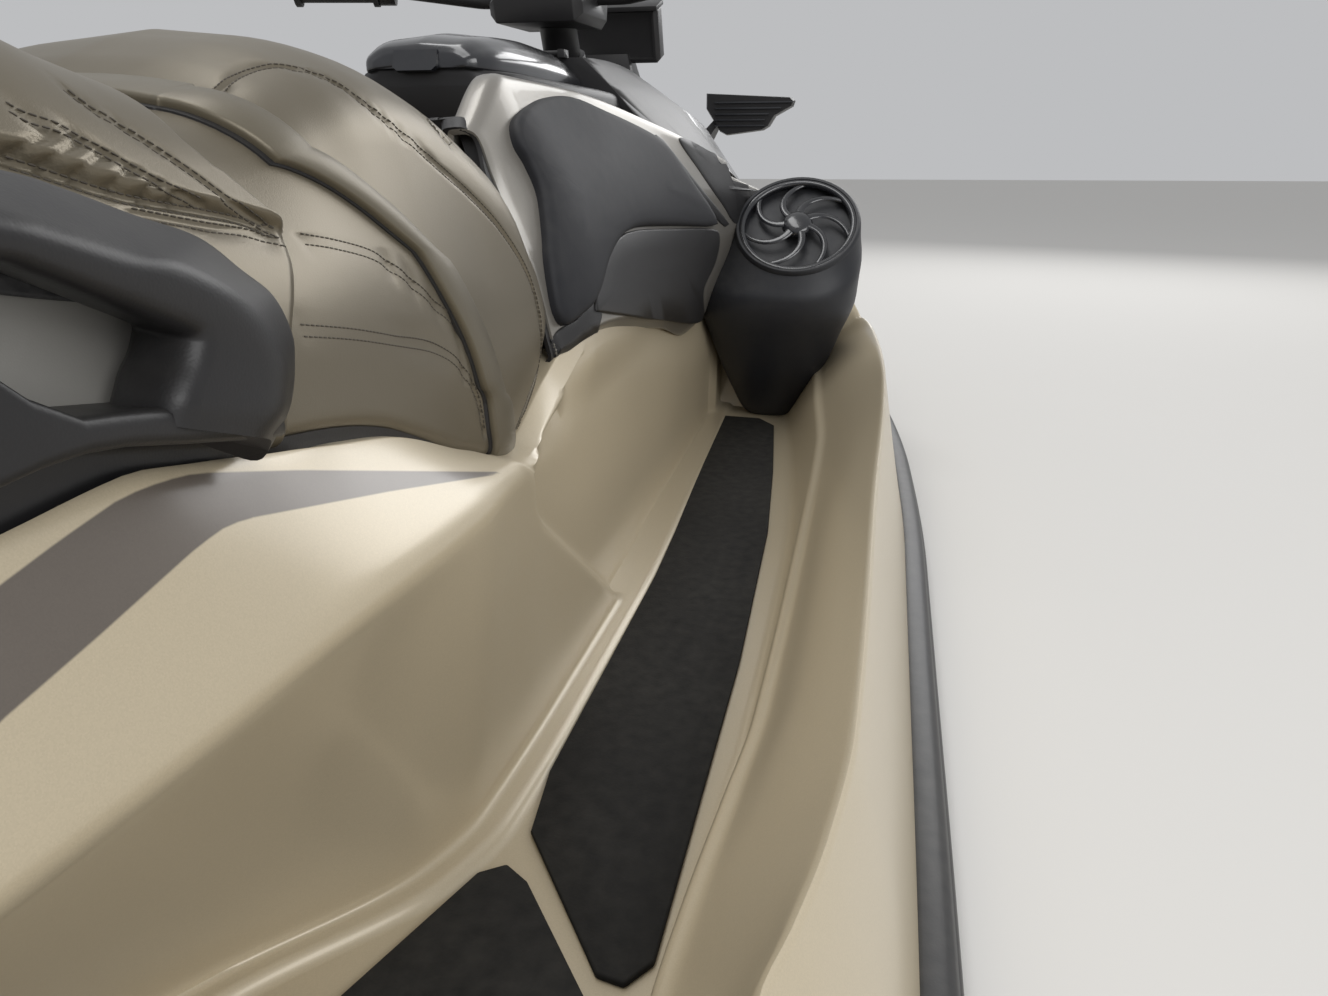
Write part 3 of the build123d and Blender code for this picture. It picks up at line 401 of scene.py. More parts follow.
def pixel_ray(pixel):
    """Direction in which a pixel of the photograph looks."""
    across = (pixel[0] - PHOTO_WIDTH / 2) / FOCAL_PX
    up = (PHOTO_HEIGHT / 2 - pixel[1]) / FOCAL_PX
    return (camera.matrix_world.to_3x3() @ Vector((across, up, -1.0))).normalized()


def pixel_of(point):
    """Pixel of the photograph at which a point shows."""
    local = camera.matrix_world.inverted() @ Vector(point)
    return Vector((PHOTO_WIDTH / 2 - FOCAL_PX * local.x / local.z,
                   PHOTO_HEIGHT / 2 + FOCAL_PX * local.y / local.z))


def depth_of(point):
    """How far ahead of the camera a point lies, along its line of sight."""
    return -(camera.matrix_world.inverted() @ Vector(point)).z


def seen_on(tree, pixel):
    """Point and normal of a surface where a pixel of the photograph sees it."""
    place, normal, _, _ = tree.ray_cast(EYE, pixel_ray(pixel))
    return place, normal


# Lines and pads laid on a surface

GROOVE_REACH = 2.5
PAD_STEP_PX = 4.0
PAD_DOUBLE_GAP = 0.0002
PAD_INSET_LIMIT = 0.9
PAD_ANGLE = 50


def smooth_line(points, step, closed=False, steps=None):
    """Points on a smooth curve through the given ones: about a step apart, or so many steps to each side."""
    knots = [Vector(p) for p in points]
    count = len(knots)
    line = []
    for i in range(count if closed else count - 1):
        here, ahead = knots[i], knots[(i + 1) % count]
        before = knots[i - 1] if closed or i else 2 * here - ahead
        after = knots[(i + 2) % count] if closed or i + 2 < count else 2 * ahead - here
        parts = steps or max(1, round((ahead - here).length / step))
        for k in range(parts):
            t = k / parts
            line.append(0.5 * (2 * here + (ahead - before) * t
                               + (2 * before - 5 * here + 4 * ahead - after) * t ** 2
                               + (3 * here - before - 3 * ahead + after) * t ** 3))
    return line if closed else line + [knots[-1]]


def drape(tree, pixels, step):
    """Points and normals where a smooth line of pixels falls on a surface."""
    line = []
    for pixel in smooth_line(pixels, step):
        place, normal = seen_on(tree, pixel)
        if place is not None:
            line.append((place, normal))
    return line


def port_side(line):
    """The same line on the port side."""
    flip = Vector((1, -1, 1))
    return [(place * flip, normal * flip) for place, normal in line]


def evened(line, step):
    """A line's points and normals at even steps of its length."""
    even = []
    gone, due = 0.0, 0.0
    for (a, na), (b, nb) in zip(line, line[1:]):
        length = (b - a).length
        while due <= gone + length and length > 0:
            t = (due - gone) / length
            even.append((a.lerp(b, t), na.lerp(nb, t).normalized()))
            due += step
        gone += length
    return even


def press_grooves(piece, lines, half_width, depth):
    """Pushes a surface in along lines, as a seam does to a padded cover."""
    points = [place for line in lines for place, _ in evened(line, half_width * 0.5)]
    seam = KDTree(len(points))
    for index, place in enumerate(points):
        seam.insert(place, index)
    seam.balance()
    normals = [n.vector.copy() for n in piece.data.vertex_normals]
    for vertex, normal in zip(piece.data.vertices, normals):
        distance = seam.find(vertex.co)[2]
        if distance < GROOVE_REACH * half_width:
            vertex.co -= normal * (depth * math.exp(-(distance / half_width) ** 2))


STITCH_PITCH = 0.0048
STITCH_LENGTH = 0.0036
STITCH_RADIUS = 0.0005
STITCH_SIDES = 6
# Shares of a stitch's length along it and of its radius there
STITCH_PROFILE = [(-0.5, 0.35), (-0.36, 1.0), (0.36, 1.0), (0.5, 0.35)]
STITCH_FACES = strip_faces(len(STITCH_PROFILE), STITCH_SIDES, caps=True)
STITCH_LIFT = 0.25 * STITCH_RADIUS


def make_stitches(name, lines, material, body="root"):
    """Thread stitches along lines, all in one piece."""
    points, faces = [], []
    for line in lines:
        even = evened(line, STITCH_PITCH)
        for (before, _), (place, normal), (after, _) in zip(even, even[1:], even[2:]):
            ahead = (after - before).normalized()
            across = ahead.cross(normal).normalized()
            middle = place + normal * STITCH_LIFT
            first = len(points)
            for along, wide in STITCH_PROFILE:
                for turn in turns(STITCH_SIDES):
                    out = across * math.cos(turn) + normal * math.sin(turn)
                    points.append(middle + ahead * (along * STITCH_LENGTH) + out * (wide * STITCH_RADIUS))
            faces += [tuple(first + corner for corner in face) for face in STITCH_FACES]
    piece = new_piece(name, points, faces, material, 60)
    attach(piece, body)


def nearest_on(path, pixel):
    """Nearest point to a pixel on a path of pixels."""
    best, found = FAR, None
    for a, b in zip(path, path[1:]):
        side = b - a
        t = min(max((pixel - a).dot(side) / side.length_squared, 0.0), 1.0)
        spot = a + side * t
        if (pixel - spot).length < best:
            best, found = (pixel - spot).length, spot
    return found


def pad_on(name, tree, outline, spine, profile, material, node):
    """Pad on a surface within an outline of pixels. Each profile row says how many pixels in from the
    outline, which share of the rest of the way to the spine, and how far out from the surface it lies."""
    rim = smooth_line(outline, PAD_STEP_PX, closed=True)
    path = [Vector(p) for p in spine]
    loops = []
    for inset, share, lift in profile:
        loop = []
        for pixel in rim:
            target = nearest_on(path, pixel)
            way = target - pixel
            spot = pixel + way.normalized() * min(inset, PAD_INSET_LIMIT * way.length)
            place, normal = seen_on(tree, spot.lerp(target, share))
            if place is None:
                place, normal = loop_fallback(tree, loop, spot)
            loop.append((place, normal))
        loops.append([place + normal * lift for place, normal in loop])
    count = len(rim)
    work = bmesh.new()
    corners = [work.verts.new(p) for loop in loops for p in loop]
    for face in strip_faces(len(loops), count):
        work.faces.new([corners[i] for i in face])
    work.faces.new(corners[-count:])
    work.faces.new(list(reversed(corners[:count])))
    bmesh.ops.triangulate(work, faces=[f for f in work.faces if len(f.verts) > 4])
    bmesh.ops.remove_doubles(work, verts=work.verts, dist=PAD_DOUBLE_GAP)
    right = piece_of(work, f"{name}_right", material, PAD_ANGLE)
    left = mirrored_piece(right, f"{name}_left")
    for piece, side in ((right, "right"), (left, "left")):
        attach(piece, "root")
        if node:
            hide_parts(node.replace("SIDE", side))


def loop_fallback(tree, loop, pixel):
    """Nearest place on the surface for a pixel that just misses it, about as far off as the loop's last."""
    depth = (loop[-1][0] - EYE).length if loop else 1.0
    place, normal, _, _ = tree.find_nearest(EYE + pixel_ray(pixel) * depth)
    return place, normal


# Material groups

def new_group(name, inputs, outputs):
    group = bpy.data.node_groups.new(name, "ShaderNodeTree")
    for label, kind, value in inputs:
        socket = group.interface.new_socket(name=label, in_out="INPUT", socket_type=kind)
        socket.default_value = value
    for label, kind in outputs:
        group.interface.new_socket(name=label, in_out="OUTPUT", socket_type=kind)
    return group, group.nodes.new("NodeGroupInput"), group.nodes.new("NodeGroupOutput")


def feed(tree, socket, value):
    """Sets a socket to a number or a colour, or links another socket to it."""
    if isinstance(value, bpy.types.NodeSocket):
        tree.links.new(value, socket)
    else:
        socket.default_value = (*value, 1) if isinstance(value, tuple) else value


def math_node(tree, operation, a, b):
    """Math node; a and b are numbers or sockets."""
    node = tree.nodes.new("ShaderNodeMath")
    node.operation = operation
    for socket, value in zip(node.inputs, (a, b)):
        feed(tree, socket, value)
    return node.outputs[0]


def object_place(tree):
    return tree.nodes.new("ShaderNodeTexCoord").outputs["Object"]


def noise_node(tree, scale, detail, place):
    """Noise at a place; scale is a number or a socket."""
    node = tree.nodes.new("ShaderNodeTexNoise")
    node.inputs["Detail"].default_value = detail
    feed(tree, node.inputs["Scale"], scale)
    tree.links.new(place, node.inputs["Vector"])
    return node.outputs["Fac"]


def cells_node(tree, scale, place):
    """Cells at a place, their scale from a socket."""
    node = tree.nodes.new("ShaderNodeTexVoronoi")
    tree.links.new(place, node.inputs["Vector"])
    tree.links.new(scale, node.inputs["Scale"])
    return node


def make_grain_group():
    """Pebble grain of vinyl and moulded plastic, as a height."""
    group, source, target = new_group(
        "pebble_grain", [("Scale", "NodeSocketFloat", 900.0)], [("Height", "NodeSocketFloat")])
    place = object_place(group)
    scale = source.outputs["Scale"]
    cells = cells_node(group, scale, place)
    cells.feature = "SMOOTH_F1"
    fine = noise_node(group, math_node(group, "MULTIPLY", scale, 0.35), 3.0, place)
    height = math_node(group, "ADD", math_node(group, "MULTIPLY", cells.outputs["Distance"], -0.7),
                       math_node(group, "MULTIPLY", fine, 0.6))
    group.links.new(height, target.inputs["Height"])
    return group


def make_flake_group():
    """Metal flakes in a clear coat: each tiny cell a little lighter or darker."""
    group, source, target = new_group(
        "metal_flake",
        [("Color", "NodeSocketColor", (0.5, 0.5, 0.5, 1)), ("Scale", "NodeSocketFloat", 1400.0),
         ("Amount", "NodeSocketFloat", 0.1)],
        [("Color", "NodeSocketColor")])
    cells = cells_node(group, source.outputs["Scale"], object_place(group))
    grey = group.nodes.new("ShaderNodeRGBToBW")
    group.links.new(cells.outputs["Color"], grey.inputs[0])
    centred = math_node(group, "MULTIPLY", math_node(group, "SUBTRACT", grey.outputs[0], 0.5),
                        source.outputs["Amount"])
    hue = group.nodes.new("ShaderNodeHueSaturation")
    group.links.new(source.outputs["Color"], hue.inputs["Color"])
    group.links.new(math_node(group, "ADD", centred, 1.0), hue.inputs["Value"])
    group.links.new(hue.outputs[0], target.inputs["Color"])
    return group


def make_wear_group():
    """Dust on faces that look up and faint smears: a colour and a roughness."""
    group, source, target = new_group(
        "dust_and_smears",
        [("Color", "NodeSocketColor", (0.5, 0.5, 0.5, 1)), ("Dust", "NodeSocketColor", (0.4, 0.38, 0.33, 1)),
         ("Amount", "NodeSocketFloat", 0.1), ("Roughness", "NodeSocketFloat", 0.4),
         ("Spread", "NodeSocketFloat", 0.1)],
        [("Color", "NodeSocketColor"), ("Roughness", "NodeSocketFloat")])
    place = object_place(group)
    broad = noise_node(group, 4.0, 6.0, place)
    fine = noise_node(group, 60.0, 5.0, place)
    split = group.nodes.new("ShaderNodeSeparateXYZ")
    group.links.new(group.nodes.new("ShaderNodeNewGeometry").outputs["Normal"], split.inputs[0])
    up = math_node(group, "MAXIMUM", split.outputs["Z"], 0.15)
    mask = math_node(group, "MULTIPLY", math_node(group, "MULTIPLY", broad, fine), up)
    mask = math_node(group, "MULTIPLY", mask, source.outputs["Amount"])
    blend = group.nodes.new("ShaderNodeMix")
    blend.data_type = "RGBA"
    group.links.new(math_node(group, "MULTIPLY", mask, 4.0), blend.inputs["Factor"])
    group.links.new(source.outputs["Color"], blend.inputs["A"])
    group.links.new(source.outputs["Dust"], blend.inputs["B"])
    group.links.new(blend.outputs["Result"], target.inputs["Color"])
    swing = math_node(group, "MULTIPLY", math_node(group, "SUBTRACT", broad, 0.5), source.outputs["Spread"])
    group.links.new(math_node(group, "ADD", source.outputs["Roughness"], swing), target.inputs["Roughness"])
    return group


GRAIN = make_grain_group()
FLAKE = make_flake_group()
WEAR = make_wear_group()
SMEAR_SPREAD = 0.08


def place_group(tree, group, **values):
    """Group node with its inputs set from numbers, colours or sockets."""
    node = tree.nodes.new("ShaderNodeGroup")
    node.node_tree = group
    for label, value in values.items():
        feed(tree, node.inputs[label.capitalize()], value)
    return node


def srgb(red, green, blue):
    """Linear colour from screen values of 0 to 255."""
    return tuple((c / 255 / 12.92) if c <= 10 else ((c / 255 + 0.055) / 1.055) ** 2.4
                 for c in (red, green, blue))


def new_material(name, metallic, coat, coat_roughness):
    """Material with its node tree and its shader."""
    material = bpy.data.materials.new(name)
    material.use_nodes = True
    shader = material.node_tree.nodes["Principled BSDF"]
    shader.inputs["Metallic"].default_value = metallic
    shader.inputs["Coat Weight"].default_value = coat
    shader.inputs["Coat Roughness"].default_value = coat_roughness
    return material, material.node_tree, shader


def add_wear(tree, shader, color, amount, roughness, spread):
    worn = place_group(tree, WEAR, color=color, amount=amount, roughness=roughness, spread=spread)
    tree.links.new(worn.outputs["Color"], shader.inputs["Base Color"])
    tree.links.new(worn.outputs["Roughness"], shader.inputs["Roughness"])


def finish_of(name, color, roughness, metallic=0.0, coat=0.0, coat_roughness=0.05, flake=0.0,
              dust=0.05, grain_scale=0.0, grain_depth=0.0, specular=0.5):
    """Material of one plain colour from the shared groups."""
    material, tree, shader = new_material(name, metallic, coat, coat_roughness)
    shader.inputs["Specular IOR Level"].default_value = specular
    if flake:
        color = place_group(tree, FLAKE, color=color, amount=flake).outputs["Color"]
    add_wear(tree, shader, color, dust, roughness, SMEAR_SPREAD)
    if grain_depth:
        grain = place_group(tree, GRAIN, scale=grain_scale)
        bump = tree.nodes.new("ShaderNodeBump")
        bump.inputs["Strength"].default_value = 1.0
        bump.inputs["Distance"].default_value = grain_depth
        tree.links.new(grain.outputs["Height"], bump.inputs["Height"])
        tree.links.new(bump.outputs[0], shader.inputs["Normal"])
    return material


CREAM = srgb(189, 176, 150)
LAVA = srgb(98, 90, 82)
STRIPE_BLUR = 0.0006


def make_deck_paint():
    """Pearl gelcoat with the dark stripe laid in by the mesh's own stripe attribute."""
    material, tree, shader = new_material("deck_gelcoat", metallic=0.12, coat=0.45, coat_roughness=0.20)
    stripe = tree.nodes.new("ShaderNodeAttribute")
    stripe.attribute_name = "stripe"
    edge = tree.nodes.new("ShaderNodeMapRange")
    edge.interpolation_type = "SMOOTHSTEP"
    edge.inputs["From Min"].default_value = -STRIPE_BLUR
    edge.inputs["From Max"].default_value = STRIPE_BLUR
    tree.links.new(stripe.outputs["Fac"], edge.inputs["Value"])
    blend = tree.nodes.new("ShaderNodeMix")
    blend.data_type = "RGBA"
    feed(tree, blend.inputs["A"], CREAM)
    feed(tree, blend.inputs["B"], LAVA)
    tree.links.new(edge.outputs[0], blend.inputs["Factor"])
    flakes = place_group(tree, FLAKE, color=blend.outputs["Result"], amount=0.10)
    add_wear(tree, shader, flakes.outputs["Color"], amount=0.05, roughness=0.38, spread=0.06)
    return material


deck_paint = make_deck_paint()
hull_paint = finish_of("hull_gelcoat", srgb(96, 91, 87), 0.35, metallic=0.15, coat=0.7,
                       coat_roughness=0.12, flake=0.1)
rail_rubber = finish_of("rail_rubber", (0.012, 0.012, 0.014), 0.42, grain_scale=700, grain_depth=0.00006)
mat_foam = finish_of("mat_foam", (0.0085, 0.0085, 0.0090), 0.9, grain_scale=420, grain_depth=0.0003,
                     dust=0.04, specular=0.2)
seat_vinyl = finish_of("seat_vinyl", srgb(114, 106, 90), 0.38, metallic=0.6, grain_scale=1500,
                       grain_depth=0.00008, dust=0.04)
strap_web = finish_of("strap_web", srgb(106, 99, 84), 0.42, metallic=0.45, grain_scale=900,
                      grain_depth=0.00008)
thread_dark = finish_of("seat_thread", srgb(70, 64, 55), 0.7)
black_satin = finish_of("black_satin", (0.014, 0.0135, 0.0145), 0.42, grain_scale=800, grain_depth=0.00008,
                        dust=0.03, specular=0.4)
black_gloss = finish_of("black_gloss", (0.010, 0.011, 0.015), 0.22, coat=0.6, coat_roughness=0.10)
dark_satin = finish_of("hood_satin", srgb(92, 92, 94), 0.35, metallic=0.5, coat=0.3, flake=0.08)
fairing_satin = finish_of("fairing_satin", srgb(138, 134, 127), 0.34, metallic=0.5, coat=0.25, flake=0.08)
pad_satin = finish_of("knee_pad_rubber", srgb(28, 29, 34), 0.62, grain_scale=1100, grain_depth=0.00008,
                      specular=0.3)
pod_satin = finish_of("pod_satin", srgb(26, 28, 34), 0.5, grain_scale=1300, grain_depth=0.00006)
recess_grey = finish_of("recess_grey", srgb(140, 138, 133), 0.42, coat=0.1, grain_scale=1300,
                        grain_depth=0.00005)
woven_trim = finish_of("woven_trim", (0.03, 0.03, 0.032), 0.6, grain_scale=330, grain_depth=0.0009)
grip_rubber = finish_of("grip_rubber", (0.02, 0.02, 0.021), 0.7, grain_scale=600, grain_depth=0.0002)
steel = finish_of("stainless", (0.55, 0.55, 0.54), 0.25, metallic=1.0)
cast = finish_of("cast_alloy", (0.36, 0.36, 0.37), 0.45, metallic=0.9, grain_scale=500, grain_depth=0.0001)
iron = finish_of("engine_paint", (0.08, 0.08, 0.085), 0.5)


# Deck

def hood_plane_z(x):
    share = (x - HOOD_FROM_X) / (HOOD_TO_X - HOOD_FROM_X)
    return mix(HOOD_FROM_Z, HOOD_TO_Z, share)


FRONT_WALL_FROM_X = 0.650
FRONT_WALL_TO_X = 0.678
TAIL_END_X = -1.165
TAIL_WALL = 0.012
PEDESTAL_RUNS = 30
SEAT_FLOOR_DROP = 0.012
HIP_SHARP_R = 0.014
HIP_SOFT_R = 0.034
DECK_RUNS = [1, 6, 5, 5, 1, 3, 2, 1, 1, PEDESTAL_RUNS, 12, 1, 1, 1, 1]
# Stations over which the floor under the seat rises to the ledge and the hip's edge softens
SEAT_FLOOR_ENDS_X = (-0.96, -0.86)
HIP_SOFTENS_X = (-0.66, -0.54)
TAIL_FLOOR_RISE = 0.0005
FOOT_RISE = 0.008
# The skin's low points: how far in from the rail and how low, amidships and at the bow
LOW_INSET = 0.03
LOW_BOW_INSET = 0.11
LOW_BOW_X = (0.85, 1.20)
LOW_PAST_BIN = (0.006, 0.06)
LOW_TOP_Z = 0.03
LOW_BOW_DROP = 0.012
# Chamfer of the gunwale's outer edge, lip of the bin, and the least step that keeps corners apart
CHAMFER = (-0.019, 0.022)
CHAMFER_R = 0.003
BIN_LIP = 0.004
HAIR = 0.001
FLANK_STEPS = 8
FLANK_BULGE = 0.012


def deck_half(x):
    """Corners (y, z, radius) of the deck's port half at station x, from the rail to the centreline."""
    sheer_y, sheer_z = row_at(SHEER, x)
    ridge_y, ridge_z = row_at(RIDGE, x)
    edge = [(sheer_y, sheer_z, 0), (sheer_y + CHAMFER[0], sheer_z + CHAMFER[1], CHAMFER_R)]
    well = edge + footwell_half(min(x, SHOULDER[-1][0]), ridge_y, ridge_z)
    share = smooth(FRONT_WALL_FROM_X, FRONT_WALL_TO_X, x)
    if share <= 0:
        return well
    front = edge + foredeck_half(max(x, COWL[0][0]), ridge_y, ridge_z)
    return [tuple(mix(a, b, share) for a, b in zip(p, q)) for p, q in zip(well, front)]


def footwell_half(x, ridge_y, ridge_z):
    """Corners from the gunwale's ridge over the footwell and the pedestal, which ends aft of the seat."""
    slope_y, slope_z = row_at(SLOPE_LINE, x)
    shoulder_y, shoulder_z = row_at(SHOULDER, x)
    out_y = row_at(FLOOR_OUT, x)[0]
    tail = smooth(TAIL_END_X - TAIL_WALL, TAIL_END_X, x)
    foot_y = row_at(FOOT, x)[0]
    hip_y, hip_z = row_at(HIP, x)
    ledge_y, ledge_z = row_at(SEAT_LEDGE, x)
    foot_z = mix(FLOOR_Z + TAIL_FLOOR_RISE, FLOOR_Z + FOOT_RISE, tail)
    seat_floor_z = mix(row_at(SEAT, x)[1] - SEAT_FLOOR_DROP, ledge_z, smooth(*SEAT_FLOOR_ENDS_X, x))
    hip_r = mix(HIP_SHARP_R, HIP_SOFT_R, smooth(*HIP_SOFTENS_X, x))
    hip_y = hip_y * tail + foot_y * (1 - tail)
    ledge_y = ledge_y * tail + foot_y * (1 - tail)
    top_z = mix(foot_z, seat_floor_z, tail)
    return [
        (ridge_y, ridge_z, 0.009), (slope_y, slope_z, 0.03), (shoulder_y, shoulder_z, 0.010),
        (shoulder_y - 0.013, shoulder_z - 0.004, 0.008), (out_y, FLOOR_Z, 0.014),
        (foot_y + 0.030, FLOOR_Z, 0.006), (foot_y + 0.022, foot_z, 0.005), (foot_y, foot_z, 0.020),
        (hip_y, mix(foot_z, hip_z, tail), hip_r), (ledge_y, mix(foot_z, ledge_z, tail), 0.014),
        (ledge_y - 0.003, top_z, 0), (0.02, top_z, 0), (0.01, top_z, 0), (0, top_z, 0),
    ]


def foredeck_half(x, ridge_y, ridge_z):
    """Corners from the gunwale's ridge over the bow's flank to the cowl and down into the bin."""
    cowl_y, cowl_z = row_at(COWL, x)
    under_hood = 1 - smooth(HOOD_TO_X, HOOD_TO_X + 0.03, x)
    top_z = mix(cowl_z, min(cowl_z, hood_plane_z(x)), under_hood)
    inside = smooth(BIN_FROM_X - BIN_LIP, BIN_FROM_X, x) * (1 - smooth(BIN_TO_X, BIN_TO_X + BIN_LIP, x))
    bin_z = mix(top_z - HAIR, BIN_FLOOR_Z, inside)
    edge_y = min(BIN_HALF_WIDTH, 0.7 * cowl_y)
    corners = [(ridge_y, ridge_z, 0.05)]
    for step in range(1, FLANK_STEPS + 1):
        t = step / (FLANK_STEPS + 1)
        bulge = FLANK_BULGE * math.sin(math.pi * t)
        corners.append((mix(ridge_y, cowl_y, t) + bulge, mix(ridge_z, top_z, t) + bulge, 0.004))
    return corners + [(cowl_y, top_z, 0.008), (edge_y, top_z - HAIR, 0), (edge_y - 2 * HAIR, bin_z, 0),
                      (0.5 * edge_y, bin_z, 0), (0, bin_z, 0)]


POCKET_EDGE = [(560, 395), (541, 430), (532, 475), (534, 510), (541, 528), (618, 601), (640, 640)]
POCKET_DEPTH = 0.022
# Stations, heights and half-breadth between which the pocket may lie, and its fades along and up
POCKET_X = (-0.65, 0.55)
POCKET_Z = (0.07, 0.40)
POCKET_HALF_WIDTH = 0.31
POCKET_EASE = 0.022
POCKET_FADE = (0.10, 0.55)
POCKET_TOP_FADE = (0.30, 0.375)
STRIPE_OUTLINE = [
    (513, 472), (392, 491), (282, 512), (245, 519), (220, 530), (192, 552), (100, 635), (0, 722),
    (-120, 845), (-300, 1040), (-420, 900), (-200, 730), (0, 585), (60, 540), (122, 497), (163, 481),
    (196, 473), (300, 470),
]
# Where the stripe may lie, its upper edge aft of the camera, and values well inside and outside it
STRIPE_TO_X = -0.55
STRIPE_FROM_Z = 0.30
STRIPE_HALF_WIDTH = 0.33
STRIPE_TOP_Z = 0.405
STRIPE_LEAST_DEPTH = 0.05
WELL_INSIDE = 0.01
FAR_OUTSIDE = -1.0


def signed_distance(pixel, outline):
    """Distance from a pixel to an outline's nearest side, positive inside it."""
    inside = False
    nearest = FAR
    for a, b in zip(outline, outline[1:] + outline[:1]):
        if (a[1] > pixel[1]) != (b[1] > pixel[1]):
            if pixel[0] < (b[0] - a[0]) * (pixel[1] - a[1]) / (b[1] - a[1]) + a[0]:
                inside = not inside
        nearest = min(nearest, side_distance(pixel, a, b))
    return nearest if inside else -nearest


def side_distance(pixel, a, b):
    ax, ay = a
    dx, dy = b[0] - ax, b[1] - ay
    t = ((pixel[0] - ax) * dx + (pixel[1] - ay) * dy) / (dx * dx + dy * dy)
    t = min(max(t, 0.0), 1.0)
    return math.hypot(pixel[0] - ax - t * dx, pixel[1] - ay - t * dy)


def pocket_offset(point):
    """How far the flank is set back at a point: deep just ahead of the pocket's edge, none far ahead."""
    x, y, z = point
    if not (POCKET_X[0] < x < POCKET_X[1] and POCKET_Z[0] < z < POCKET_Z[1] and abs(y) < POCKET_HALF_WIDTH):
        return 0.0
    place = (x, -abs(y), z)
    pixel = pixel_of(place)
    nearest, ahead = FAR, False
    for a, b in zip(POCKET_EDGE, POCKET_EDGE[1:]):
        distance = side_distance(pixel, a, b)
        if distance < nearest:
            nearest = distance
            ahead = (b[0] - a[0]) * (pixel[1] - a[1]) - (b[1] - a[1]) * (pixel[0] - a[0]) < 0
    if not ahead:
        return 0.0
    inward = nearest / FOCAL_PX * depth_of(place)
    fade = (1 - smooth(*POCKET_FADE, inward)) * (1 - smooth(*POCKET_TOP_FADE, z))
    return POCKET_DEPTH * smooth(0.0, POCKET_EASE, inward) * fade


def stripe_value(point):
    """How far inside the stripe a point of the deck lies, below zero outside it."""
    x, y, z = point
    if x >= STRIPE_TO_X or z <= STRIPE_FROM_Z or abs(y) >= STRIPE_HALF_WIDTH:
        return FAR_OUTSIDE
    place = Vector((x, -abs(y), z))
    depth = depth_of(place)
    if depth > STRIPE_LEAST_DEPTH:
        return signed_distance(pixel_of(place), STRIPE_OUTLINE) / FOCAL_PX * depth
    return WELL_INSIDE if z < STRIPE_TOP_Z else -WELL_INSIDE


def make_deck():
    spans = [(-1.700, -1.200, 0.025), (-1.200, TAIL_END_X - TAIL_WALL, 0.01),
             (TAIL_END_X - TAIL_WALL, TAIL_END_X, 0.003), (TAIL_END_X, -0.64, 0.011), (-0.64, -0.28, 0.006),
             (-0.28, FRONT_WALL_FROM_X, 0.016), (FRONT_WALL_FROM_X, FRONT_WALL_TO_X, 0.004),
             (FRONT_WALL_TO_X, BIN_FROM_X - BIN_LIP, 0.012), (BIN_FROM_X - BIN_LIP, BIN_FROM_X, 0.004),
             (BIN_FROM_X, BIN_TO_X, 0.025), (BIN_TO_X, BIN_TO_X + BIN_LIP, 0.004),
             (BIN_TO_X + BIN_LIP, HOOD_TO_X, 0.02), (HOOD_TO_X, 1.690, 0.015)]
    rows = []
    for x in stations(*spans):
        half = rounded_section(deck_half(x), DECK_RUNS)
        half = [Vector((max(p.x - pocket_offset((x, p.x, p.y)), 0.0), p.y)) for p in half]
        sheer_y, sheer_z = row_at(SHEER, x)
        past_bin = smooth(BIN_TO_X + LOW_PAST_BIN[0], BIN_TO_X + LOW_PAST_BIN[1], x)
        inset = mix(LOW_INSET + LOW_BOW_INSET * smooth(*LOW_BOW_X, x), LOW_INSET, past_bin)
        low = Vector((sheer_y - inset, mix(min(sheer_z, LOW_TOP_Z), sheer_z - LOW_BOW_DROP, past_bin)))
        rows.append([(x, low.x, low.y)] + whole_section(x, half) + [(x, -low.x, low.y)])
    deck = skin("deck_skin", rows, deck_paint, angle=40)
    mark = deck.data.attributes.new("stripe", "FLOAT", "POINT")
    mark.data.foreach_set("value", [stripe_value(vertex.co) for vertex in deck.data.vertices])
    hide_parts("deck")
    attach(deck, "root")


make_deck()


# Rub rails

RAIL_PROFILE = [
    (-0.026, 0.016), (-0.022, 0.022), (-0.016, 0.024), (-0.002, 0.022), (0.005, 0.018), (0.008, 0.013),
    (0.0075, 0.010), (0.010, 0.008), (0.012, 0.002), (0.0117, -0.006), (0.009, -0.014), (0.004, -0.0195),
    (-0.004, -0.020), (-0.020, -0.019),
]


def make_rail(side, name):
    rows = []
    for x in stations((-1.700, 0.0, 0.05), (0.0, 1.20, 0.04), (1.20, 1.690, 0.02)):
        y, z = row_at(SHEER, x)
        rows.append([(x, side * (y + a), z + b) for a, b in RAIL_PROFILE])
    rail = skin(f"rub_rail_{name}_trim", rows, rail_rubber, angle=50)
    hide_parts(f"rub_rail_{name}")
    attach(rail, "root")


make_rail(1, "left")
make_rail(-1, "right")


# Console

CONSOLE_RUNS = [5, 16, 16, 3, 3, 1]
CONSOLE_FRONT_X = 0.680
CREST_WIDTH = 0.026
CREST_POINTS = 8
INNER_DROP = 0.055
INNER_DROP_ENDS_X = (0.05, 0.20)
UNDER_HOOD_X = (HOOD_FROM_X - 0.012, HOOD_FROM_X - 0.006)
LIP_ENDS_Z = (0.545, 0.575)
NOSE_STEP_Z = (0.42, 0.43)
WALL_GAP = 0.03
FAIRING_THICKNESS = 0.006
FAIRING_EDGE = 0.0025
LIP_THICKNESS = 0.004
FAIRING_REAR_X = -0.400
LIP_WIDTH = 0.010
LIP_INSET = 0.0045
WALL_INSET = 0.016
WALL_LOW_Y = 0.03
WALL_HIGH_Y = 0.130
WALL_TOP_Z = 0.590
REAR_EDGE = [(0.300, -0.385), (0.350, -0.400), (0.400, -0.408), (0.450, -0.410), (0.500, -0.415),
             (0.545, -0.405), (0.575, -0.396), (0.595, -0.404), (0.608, -0.420), (0.680, -0.430)]


